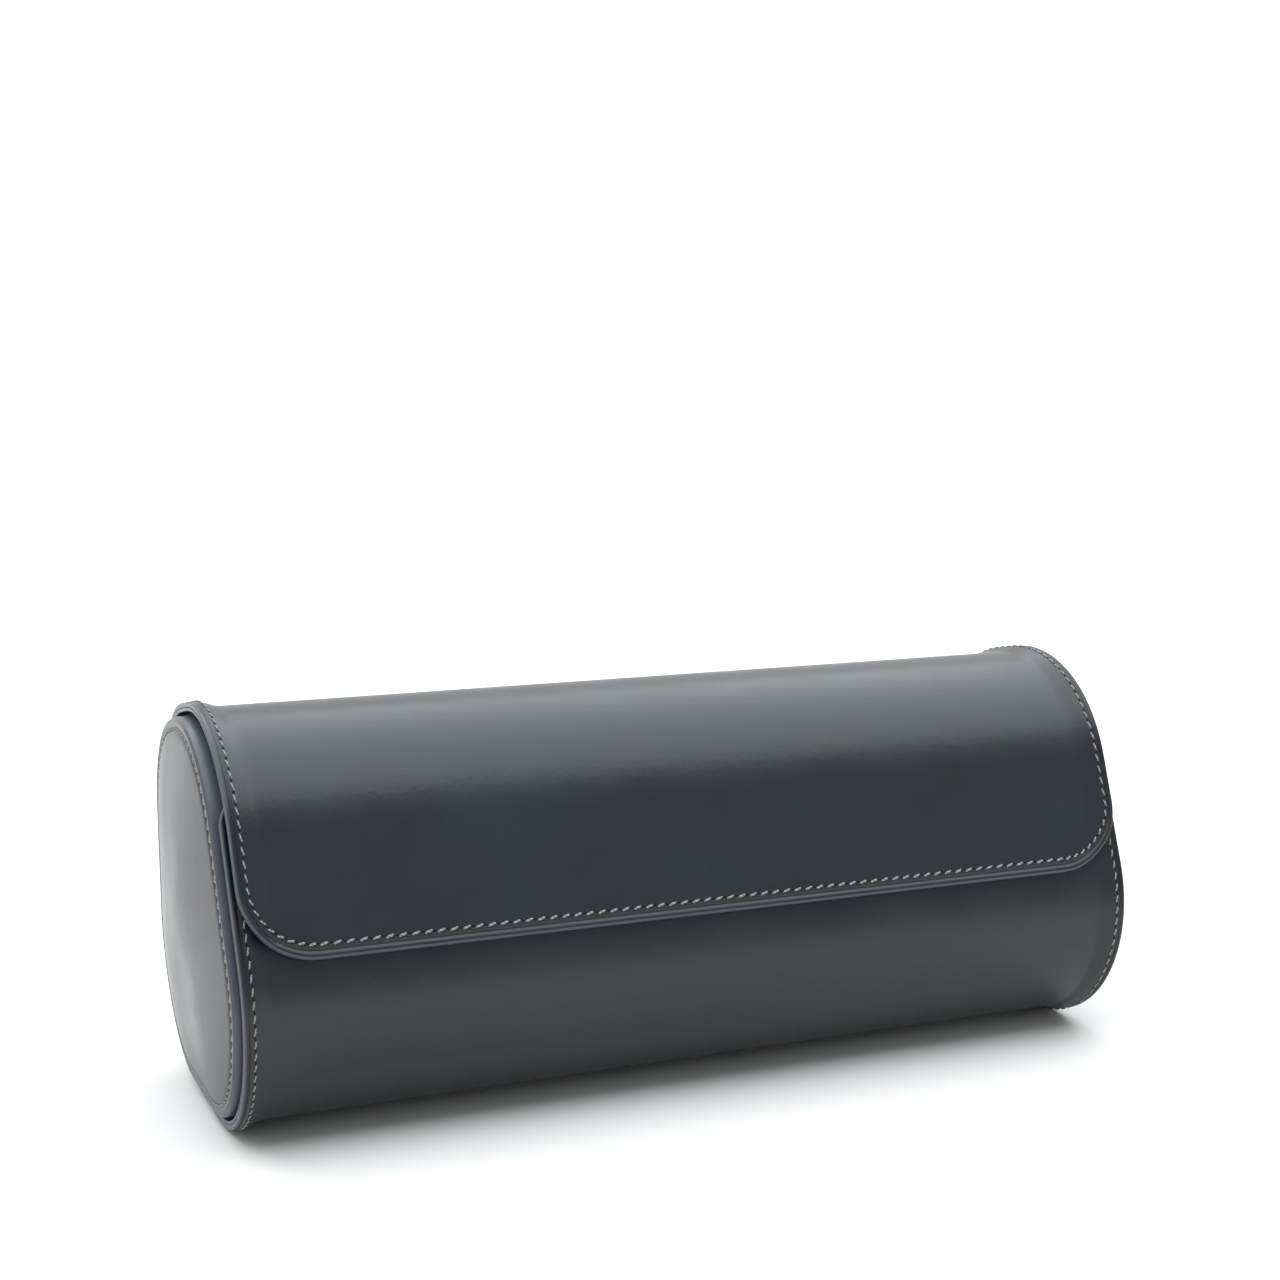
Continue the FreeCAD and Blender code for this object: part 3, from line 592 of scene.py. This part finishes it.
def finish(name):
    """A new material: its node tree and its shader."""
    material = bpy.data.materials.new(name)
    material.use_nodes = True
    tree = material.node_tree
    return material, tree, tree.nodes["Principled BSDF"]


def grains(size):
    """Texture scale for features of a real size."""
    return 1 / size


def calf_leather(name, seam_inset, crease_inset, holes=True):
    """Smooth calf leather, dyed through and waxed: near black with a soft sheen, a fine pore grain, a
    painted edge partly coloured lighter as painted highlight, a crease darkened with painted shade and
    needle holes along the seam darkened with painted shade."""
    material, tree, shader = finish(name)
    place = add(tree, "ShaderNodeTexCoord")
    edge = add(tree, "ShaderNodeUVMap", uv_map="edge")
    split = add(tree, "ShaderNodeSeparateXYZ", {"Vector": edge.outputs[0]})
    pores = add(tree, "ShaderNodeTexVoronoi", {"Vector": place.outputs["Object"]},
                {"Scale": grains(0.55 * MM)}, feature="SMOOTH_F1")
    wrinkle = add(tree, "ShaderNodeTexNoise", {"Vector": place.outputs["Object"]},
                  {"Scale": grains(1.6 * MM), "Detail": 4.0, "Roughness": 0.6})
    cloud = add(tree, "ShaderNodeTexNoise", {"Vector": place.outputs["Object"]},
                {"Scale": grains(28 * MM), "Detail": 3.0, "Roughness": 0.5})
    tone = add(tree, "ShaderNodeValToRGB", {"Fac": cloud.outputs["Fac"]})
    tone.color_ramp.elements[0].position = 0.3
    tone.color_ramp.elements[0].color = linear(LEATHER_DEEP)
    tone.color_ramp.elements[1].position = 0.7
    tone.color_ramp.elements[1].color = linear(LEATHER_WORN)
    # edge paint with painted highlight: the rounded edge and a thin band beside it are coloured lighter
    painted = add(tree, "ShaderNodeMapRange", {"Value": split.outputs["Y"]},
                  {"From Min": EDGE_AND_HIGHLIGHT_REACH[0], "From Max": EDGE_AND_HIGHLIGHT_REACH[1], "To Min": 1.0, "To Max": 0.0},
                  interpolation_type="SMOOTHSTEP")
    edged = add(tree, "ShaderNodeMix", {"Factor": painted.outputs[0], 6: tone.outputs["Color"]},
                {7: linear(PAINTED_EDGE_AND_HIGHLIGHT)}, data_type="RGBA")
    # painted shade: the crease is darkened towards near black along its line
    off_crease = add(tree, "ShaderNodeMath", {0: split.outputs["Y"]}, {1: crease_inset}, operation="SUBTRACT")
    from_crease = add(tree, "ShaderNodeMath", {0: off_crease.outputs[0]}, operation="ABSOLUTE")
    crease_shade_share = add(tree, "ShaderNodeMapRange", {"Value": from_crease.outputs[0]},
                  {"From Min": 0.05 * MM, "From Max": CREASE_WIDTH, "To Min": 0.75, "To Max": 0.0},
                  interpolation_type="SMOOTHSTEP")
    crease_shaded = add(tree, "ShaderNodeMix", {"Factor": crease_shade_share.outputs[0], 6: edged.outputs[2]},
                  {7: linear(CREASE_PAINTED_SHADE)}, data_type="RGBA")
    along = add(tree, "ShaderNodeMath", {0: split.outputs["X"]}, {1: STITCH_PITCH / 2}, operation="PINGPONG")
    along_share = add(tree, "ShaderNodeMath", {0: along.outputs[0]}, {1: HOLE_SIZE[0]}, operation="DIVIDE")
    off_seam = add(tree, "ShaderNodeMath", {0: split.outputs["Y"]}, {1: seam_inset}, operation="SUBTRACT")
    seam_share = add(tree, "ShaderNodeMath", {0: off_seam.outputs[0]}, {1: HOLE_SIZE[1]}, operation="DIVIDE")
    flat = add(tree, "ShaderNodeCombineXYZ", {"X": along_share.outputs[0], "Y": seam_share.outputs[0]})
    from_hole = add(tree, "ShaderNodeVectorMath", {0: flat.outputs[0]}, operation="LENGTH")
    holed = add(tree, "ShaderNodeMapRange", {"Value": from_hole.outputs["Value"]},
                {"From Min": 0.55, "From Max": 1.15, "To Min": 1.0 if holes else 0.0, "To Max": 0.0},
                interpolation_type="SMOOTHSTEP")
    # painted shade: the needle holes are coloured near black
    colour = add(tree, "ShaderNodeMix", {"Factor": holed.outputs[0], 6: crease_shaded.outputs[2]},
                 {7: linear(HOLE_PAINTED_SHADE)}, data_type="RGBA")
    tree.links.new(colour.outputs[2], shader.inputs["Base Color"])
    gloss = add(tree, "ShaderNodeMapRange", {"Value": cloud.outputs["Fac"]},
                {"From Min": 0.3, "From Max": 0.7, "To Min": LEATHER_ROUGH[0], "To Max": LEATHER_ROUGH[1]})
    matt = add(tree, "ShaderNodeMath", {0: holed.outputs[0], 1: gloss.outputs[0]}, operation="MAXIMUM")
    tree.links.new(matt.outputs[0], shader.inputs["Roughness"])
    skin = add(tree, "ShaderNodeBump", {"Height": pores.outputs["Distance"]},
               {"Strength": 0.25, "Distance": 0.05 * MM})
    lines = add(tree, "ShaderNodeBump", {"Height": wrinkle.outputs["Fac"], "Normal": skin.outputs[0]},
                {"Strength": 0.3, "Distance": 0.12 * MM})
    sunk = add(tree, "ShaderNodeBump", {"Height": holed.outputs[0], "Normal": lines.outputs[0]},
               {"Strength": 1.0, "Distance": 0.25 * MM}, invert=True)
    tree.links.new(sunk.outputs[0], shader.inputs["Normal"])
    shader.inputs["IOR"].default_value = 1.48
    shader.inputs["Sheen Weight"].default_value = 0.05
    return material


def suede(name, dark, light):
    """Microfibre suede: brushed nap with soft light and dark drifts, and a pale bloom at its outline."""
    material, tree, shader = finish(name)
    place = add(tree, "ShaderNodeTexCoord")
    nap = add(tree, "ShaderNodeTexNoise", {"Vector": place.outputs["Object"]},
              {"Scale": grains(0.7 * MM), "Detail": 5.0, "Roughness": 0.7})
    drift = add(tree, "ShaderNodeTexNoise", {"Vector": place.outputs["Object"]},
                {"Scale": grains(18 * MM), "Detail": 2.0, "Distortion": 1.2})
    mixed = add(tree, "ShaderNodeMath", {0: nap.outputs["Fac"], 1: drift.outputs["Fac"]}, operation="ADD")
    tone = add(tree, "ShaderNodeMapRange", {"Value": mixed.outputs[0]}, {"From Min": 0.75, "From Max": 1.3})
    colour = add(tree, "ShaderNodeMix", {"Factor": tone.outputs[0]}, {6: linear(dark), 7: linear(light)},
                 data_type="RGBA")
    tree.links.new(colour.outputs[2], shader.inputs["Base Color"])
    bump = add(tree, "ShaderNodeBump", {"Height": nap.outputs["Fac"]},
               {"Strength": 0.5, "Distance": 0.15 * MM})
    tree.links.new(bump.outputs[0], shader.inputs["Normal"])
    shader.inputs["Roughness"].default_value = 0.95
    shader.inputs["Specular IOR Level"].default_value = 0.25
    shader.inputs["Sheen Weight"].default_value = 0.35
    shader.inputs["Sheen Roughness"].default_value = 0.5
    return material


def thread(name):
    """Waxed polyester thread, grey: the ply twist shows as slanted ridges."""
    material, tree, shader = finish(name)
    edge = add(tree, "ShaderNodeUVMap", uv_map="edge")
    turned = add(tree, "ShaderNodeMapping", {"Vector": edge.outputs[0]},
                 {"Rotation": (0, 0, math.radians(40))})
    ply = add(tree, "ShaderNodeTexWave", {"Vector": turned.outputs[0]}, {"Scale": grains(2.4 * MM)})
    colour = add(tree, "ShaderNodeMix", {"Factor": ply.outputs["Fac"]},
                 {6: linear(THREAD_DARK), 7: linear(THREAD_LIGHT)}, data_type="RGBA")
    tree.links.new(colour.outputs[2], shader.inputs["Base Color"])
    bump = add(tree, "ShaderNodeBump", {"Height": ply.outputs["Fac"]},
               {"Strength": 0.4, "Distance": 0.05 * MM})
    tree.links.new(bump.outputs[0], shader.inputs["Normal"])
    shader.inputs["Roughness"].default_value = 0.55
    return material


def core_stuff(name, dark, light, grain, rough, metal=0.0):
    """Board, filling or metal, of which little shows on a whole roll: a fine two-tone fleck."""
    material, tree, shader = finish(name)
    place = add(tree, "ShaderNodeTexCoord")
    fleck = add(tree, "ShaderNodeTexNoise", {"Vector": place.outputs["Object"]},
                {"Scale": grains(grain), "Detail": 4.0})
    colour = add(tree, "ShaderNodeMix", {"Factor": fleck.outputs["Fac"]}, {6: linear(dark), 7: linear(light)},
                 data_type="RGBA")
    tree.links.new(colour.outputs[2], shader.inputs["Base Color"])
    bump = add(tree, "ShaderNodeBump", {"Height": fleck.outputs["Fac"]},
               {"Strength": 0.3, "Distance": 0.1 * MM})
    tree.links.new(bump.outputs[0], shader.inputs["Normal"])
    shader.inputs["Roughness"].default_value = rough
    shader.inputs["Metallic"].default_value = metal
    return material


def dress(piece, material, body=None):
    """Give a piece its finish and slot, and let it ride on a body."""
    piece.data.materials.clear()
    piece.data.materials.append(material)
    if body:
        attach(piece, body)
    return piece


def node_finish(material, *names):
    """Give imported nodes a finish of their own."""
    for name in names:
        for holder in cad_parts[name].material_slots:
            holder.material = material


# ---------------------------------------------------------------- the roll

def flap_half_width(s):
    """The sheet is as wide as the rims at the back and draws in a little past the hinge."""
    drawn = smooth((np.asarray(s, float) - HINGE_LENGTH + DRAW_BEFORE) / DRAW_LENGTH)
    return RIM - (RIM - FLAP_SIDE) * drawn


def wall_half_width(s):
    """The body's sheet is as wide as the rims all along."""
    return RIM + 0 * np.asarray(s, float)


def bend(piece):
    """Bake the piece's placement into its mesh; the sheet already follows its path round from the back wall
    to the flap.
    """
    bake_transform(piece)


def build_wrap(leather, lining, yarn):
    """Body sheet and flap sheet, each a cover, a lining and a run of stitches."""
    lid_end = FLAP_RUN.pieces[-1][0] - math.radians(WALL_ROLL + LID_TRIM) * FLAP_FRONT_RADIUS
    wall = Panel(WALL_RUN, wall_half_width, WALL_CORNER, 2 * WALL_RUN.length, SIDE_PINCH)
    flap = Panel(FLAP_RUN, flap_half_width, FLAP_CORNER, lid_end + PARED, 1.0)
    cover = panel_piece("wrap_leather", wall, 0.0, COVER_GAUGE, CREASE_DEPTH)
    dress(cover, leather, "case")
    inner = panel_piece("wrap_inner_leather", wall, COVER_GAUGE, LINING_GAUGE, 0.0)
    dress(inner, lining, "case")
    seam = panel_stitches("wrap_stitches", wall, 0, wall.total)
    dress(seam, yarn, "case")
    flap_cover = panel_piece("flap_leather", flap, 0.0, COVER_GAUGE, CREASE_DEPTH)
    dress(flap_cover, leather)
    bend(flap_cover)
    flap_inner = panel_piece("flap_inner_leather", flap, COVER_GAUGE, LINING_GAUGE, 0.0)
    dress(flap_inner, lining)
    bend(flap_inner)
    flap_seam = panel_stitches("flap_stitches", flap, 0, flap.total)
    dress(flap_seam, yarn)
    bend(flap_seam)
    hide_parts("wrap_cover")
    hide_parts("flap_cover")
    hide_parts("wrap_lining")
    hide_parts("flap_lining")


def slab(name, run, low, high, outer, inner):
    """A strip along the roll between two lengths and two depths, with rounded long edges.

    Its section is a ring: a superellipse of the fourth degree round the strip's middle.
    """
    along, around = 61, 33
    turn = np.linspace(0, 2 * math.pi, around)
    cosine, sine = np.cos(turn), np.sin(turn)
    s = (low + high) / 2 + (high - low) / 2 * np.sign(cosine) * np.sqrt(np.abs(cosine))
    depth = (outer + inner) / 2 + (inner - outer) / 2 * np.sign(sine) * np.sqrt(np.abs(sine))
    points, normals = run.at(s)
    ring = points - normals * depth[:, None]
    x = np.linspace(-LID_SIDE, LID_SIDE, along)
    grid = np.concatenate([np.broadcast_to(x[:, None, None], (along, around, 1)),
                           np.broadcast_to(ring[None], (along, around, 2))], axis=-1)
    plain = np.full((along, around), 2 * BORDER)
    uv = np.stack([np.broadcast_to(x[:, None], (along, around)), plain], axis=-1)
    caps = []
    for row in (0, -1):
        middle = np.broadcast_to(grid[row].mean(axis=0), grid[row].shape)
        caps.append((np.stack([grid[row], middle]), np.stack([uv[row], uv[row]])))
    return quad_mesh(name, [(grid, uv), *caps])


def keeper(name, side):
    """Steel disc between the flap's cover and lining: rings from its middle over a rounded edge."""
    centre, normal = FLAP_RUN.at(FLAP_RUN.pieces[-1][0] + MAGNET_DROP)
    radius = np.array([0, 0.4, 0.8, 0.95, 1, 1, 0.95, 0.8, 0.4, 0]) * KEEPER_RADIUS
    low = COVER_GAUGE + WAIST + 0.02 * MM
    depth = low + np.array([0, 0, 0, 0.03, 0.12, 0.45, 0.55, 0.58, 0.58, 0.58]) * MM
    turn = np.linspace(0, 2 * math.pi, 49)
    up = np.array([-normal[1], normal[0]])
    x = side * MAGNET_SPREAD + radius[:, None] * np.cos(turn)
    across = (centre - normal * depth[:, None])[:, None] + (radius[:, None] * np.sin(turn))[..., None] * up
    grid = np.concatenate([x[..., None], across], axis=-1)
    return quad_mesh(name, [(grid, np.stack([x, x], axis=-1))])


def build_inside(nap, lining, steel):
    """Hinge strip, the wall's edge binding and the two keepers."""
    strip = slab("hinge_strip", FLAP_RUN, HINGE_LENGTH - HINGE_STRIP_WIDTH,
                 HINGE_LENGTH + HINGE_GAP + math.radians(HINGE_STRIP_SWEEP) * BACK_TOP_RADIUS,
                 INNER_FACE, INNER_FACE + SUEDE_GAUGE)
    dress(strip, nap)
    bend(strip)
    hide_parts("hinge_strip_case", "hinge_strip_lid")
    top = WALL_RUN.length
    binding = slab("wall_edge_binding", WALL_RUN, top - BINDING_HEIGHT, top, WAIST - BINDING_PROUD,
                   INNER_FACE + BINDING_PROUD)
    dress(binding, lining, "case")
    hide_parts("front_wall_binding")
    for word, side in (("left", -1), ("right", 1)):
        disc = keeper(f"keeper_disc_{word}", side)
        dress(disc, steel, "flap")
        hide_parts(f"keeper_{word}")


def cushion_shell():
    """A watch cushion before it is filled: a rounded block, a little smaller than its final size.

    Across the roll it is a superellipse of degree 3.2; along the roll it shrinks to its ends as the
    cube root of 1 - a^5.
    """
    low, high = np.array(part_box("cushion_middle_core"))
    size = high - low
    centre = (high + low) / 2
    along, around = 33, 65
    a = np.sin(np.linspace(-math.pi / 2, math.pi / 2, along))
    turn = np.linspace(0, 2 * math.pi, around)
    share = (1 - np.abs(a) ** 5) ** (1 / 3)
    cosine, sine = np.cos(turn), np.sin(turn)
    round_y = np.sign(cosine) * np.abs(cosine) ** (2 / CUSHION_SQUARE)
    round_z = np.sign(sine) * np.abs(sine) ** (2 / CUSHION_SQUARE)
    grid = np.stack([np.broadcast_to(a[:, None] * size[0] / 2, (along, around)),
                     share[:, None] * round_y * size[1] / 2,
                     share[:, None] * round_z * size[2] / 2], axis=-1)
    squeezed = grid * np.array(CUSHION_SLACK) + centre
    return quad_mesh("cushion_shell", [(squeezed, np.zeros(squeezed.shape[:2] + (2,)))]), centre, size


def filled(piece, centre, size):
    """Blow the cushion up like a stuffed sleeve with cloth simulation, held inside its own space."""
    view = bpy.context.view_layer
    view.objects.active = piece
    remesh = piece.modifiers.new("remesh", "REMESH")
    remesh.mode = "VOXEL"
    remesh.voxel_size = CUSHION_VOXEL
    bpy.ops.object.modifier_apply(modifier=remesh.name)
    start = vertex_places(piece.data)
    cloth = piece.modifiers.new("cloth", "CLOTH")
    cloth.settings.use_pressure = True
    cloth.settings.uniform_pressure_force = CUSHION_PRESSURE
    cloth.settings.effector_weights.gravity = 0.0
    cloth.settings.tension_stiffness = CUSHION_STIFFNESS
    cloth.settings.compression_stiffness = CUSHION_STIFFNESS
    for step in range(1, CUSHION_STEPS + 1):
        bpy.context.scene.frame_set(step)
    graph = bpy.context.evaluated_depsgraph_get()
    swollen = vertex_places(piece.evaluated_get(graph).data)
    piece.modifiers.remove(cloth)
    bpy.context.scene.frame_set(1)
    move = swollen - start
    far = np.linalg.norm(move, axis=1, keepdims=True)
    move = move * np.minimum(1, CUSHION_CAP / np.maximum(far, 1e-9))
    start = start + move
    half = size / 2 - CUSHION_CLEAR
    inside = np.clip((start - centre) / half, -1, 1)
    piece.data.vertices.foreach_set("co", (centre + inside * half).astype(np.float32).reshape(-1))
    piece.data.update()
    smoother = piece.modifiers.new("smooth", "SUBSURF")
    smoother.levels = 1
    smoother.render_levels = 1
    bpy.ops.object.modifier_apply(modifier=smoother.name)
    piece.data.polygons.foreach_set("use_smooth", [True] * len(piece.data.polygons))
    return piece


def vertex_places(mesh):
    """All vertex positions of a mesh, (n, 3)."""
    places = np.zeros(len(mesh.vertices) * 3, np.float32)
    mesh.vertices.foreach_get("co", places)
    return places.reshape(-1, 3).astype(float)


def build_cushions(nap):
    """Three equal stuffed cushions, one for each compartment."""
    shell, centre, size = cushion_shell()
    filled(shell, centre, size)
    for word in ("left", "middle", "right"):
        mesh = shell.data.copy()
        shift = np.array(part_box(f"cushion_{word}_core")).mean(axis=0) - centre
        mesh.vertices.foreach_set("co", (vertex_places(mesh) + shift).astype(np.float32).reshape(-1))
        piece = bpy.data.objects.new(f"cushion_{word}", mesh)
        bpy.context.scene.collection.objects.link(piece)
        dress(piece, nap, "case")
        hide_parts(f"cushion_{word}_core", f"cushion_{word}_sleeve")
    bpy.data.objects.remove(shell)


def build_ends(leather, foam, yarn):
    """Padded leather end, its foam and its stitches, at both rims."""
    for word, side in (("left", -1), ("right", 1)):
        cover = end_cover(f"end_{word}_leather", side)
        dress(cover, leather, "case")
        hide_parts(f"end_{word}_cover")
        pad = end_pad(f"end_{word}_foam", side)
        dress(pad, foam, "case")
        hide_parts(f"end_{word}_pad")
        dress(end_stitches(f"end_{word}_stitches", side), yarn, "case")


def build_stage():
    """Pale backdrop, dim room light in front of it, and three softboxes.

    The backdrop is a flat floor, then a quarter circle up to an upright wall, carried round; its height
    fades to nothing towards the front.
    """
    scene = bpy.context.scene
    rise = np.linspace(0, math.pi / 2, 25)
    radius = np.concatenate([[0, 0.3, 0.8], STAGE_FLOOR + STAGE_BEND * np.sin(rise),
                             [STAGE_FLOOR + STAGE_BEND]])
    height = np.concatenate([[0, 0, 0], STAGE_BEND * (1 - np.cos(rise)), [STAGE_WALL]])
    turn = np.linspace(0, 2 * math.pi, 97)
    behind = smooth(0.5 + np.sin(turn) / (2 * STAGE_OPEN))
    grid = np.stack([radius[:, None] * np.cos(turn), radius[:, None] * np.sin(turn),
                     height[:, None] * behind], axis=-1)
    floor = quad_mesh("backdrop", [(grid, np.zeros(grid.shape[:2] + (2,)))])
    material, _, shader = finish("pale matt studio paper")
    shader.inputs["Base Color"].default_value = linear(STAGE_PAPER)
    shader.inputs["Roughness"].default_value = 1.0
    shader.inputs["Specular IOR Level"].default_value = 0.0
    floor.data.materials.append(material)
    world = bpy.data.worlds.new("studio")
    scene.world = world
    world.use_nodes = True
    background = world.node_tree.nodes["Background"]
    background.inputs["Color"].default_value = (*STUDIO_LIGHT, 1)
    background.inputs["Strength"].default_value = SKY_STRENGTH
    scene.view_settings.view_transform = "Standard"
    middle = (0, 0, 50 * MM)
    add_light("overhead softbox", (0.1, 0.42, 1.3), (0.1, 0.42, 0), 2.6, 56.0)
    add_light("left softbox", (-1.3, 0.1, 0.5), middle, 0.8, 2.0)
    add_light("backdrop softbox", (0, 0.9, 1.5), (0, 2.8, 1.9), 1.2, 14.0)


def add_light(name, place, target, size, power):
    """Square soft light aimed at a point."""
    lamp = bpy.data.lights.new(name, "AREA")
    lamp.size = size
    lamp.energy = power
    lamp.color = STUDIO_LIGHT
    holder = bpy.data.objects.new(name, lamp)
    bpy.context.scene.collection.objects.link(holder)
    aim(holder, np.array(place), np.array(target) - np.array(place))


def aim(holder, place, direction):
    """Set an object at a place, looking along a direction, upright."""
    holder.location = place
    holder.rotation_euler = Vector(direction).to_track_quat("-Z", "Y").to_euler()


def build_camera():
    """Camera to the roll's left front and a little above it, drawn low in a square view."""
    azimuth = math.radians(VIEW_AZIMUTH)
    elevation = math.radians(VIEW_ELEVATION)
    back = np.array([math.sin(azimuth) * math.cos(elevation), -math.cos(azimuth) * math.cos(elevation),
                     math.sin(elevation)])
    right = np.array([math.cos(azimuth), math.sin(azimuth), 0])
    up = np.cross(back, right)
    place = np.array(VIEW_MIDDLE) + 2 * RIM * (np.array(VIEW_PLACE) @ np.array([back, right, up]))
    view = bpy.data.cameras.new("camera")
    view.sensor_width = SENSOR_WIDTH
    view.lens = LENS
    view.shift_y = LENS_SHIFT
    camera = bpy.data.objects.new("camera", view)
    bpy.context.scene.collection.objects.link(camera)
    aim(camera, place, -back)
    bpy.context.scene.camera = camera


def main():
    leather = calf_leather("waxed calf leather", SEAM_INSET, CREASE_INSET)
    end_leather = calf_leather("waxed calf leather, ends", END_SEAM_INSET, -1.0)
    lining = calf_leather("skived lining leather", -1.0, -1.0, holes=False)
    yarn = thread("waxed polyester thread")
    foam = core_stuff("polyurethane foam", "#b9b6ab", "#d8d5ca", 1.5 * MM, 0.9)
    board = core_stuff("black-dyed fibreboard", "#1d2024", "#272b30", 2.0 * MM, 0.85)
    steel = core_stuff("nickel-plated steel", "#a9a8a4", "#c2c1bd", 0.4 * MM, 0.3, metal=1.0)
    nap = suede("microfibre suede", "#1f2227", "#34383f")
    build_wrap(leather, lining, yarn)
    build_ends(end_leather, foam, yarn)
    build_inside(nap, lining, steel)
    build_cushions(nap)
    node_finish(nap, "shell_suede", "lid_suede",
                "end_left_lining", "end_right_lining", "divider_left_cover", "divider_right_cover")
    node_finish(board, "shell_board", "lid_board", "end_left_board", "end_right_board", "divider_left_core",
                "divider_right_core")
    node_finish(steel, "magnet_left", "magnet_right")
    build_camera()
    build_stage()


main()
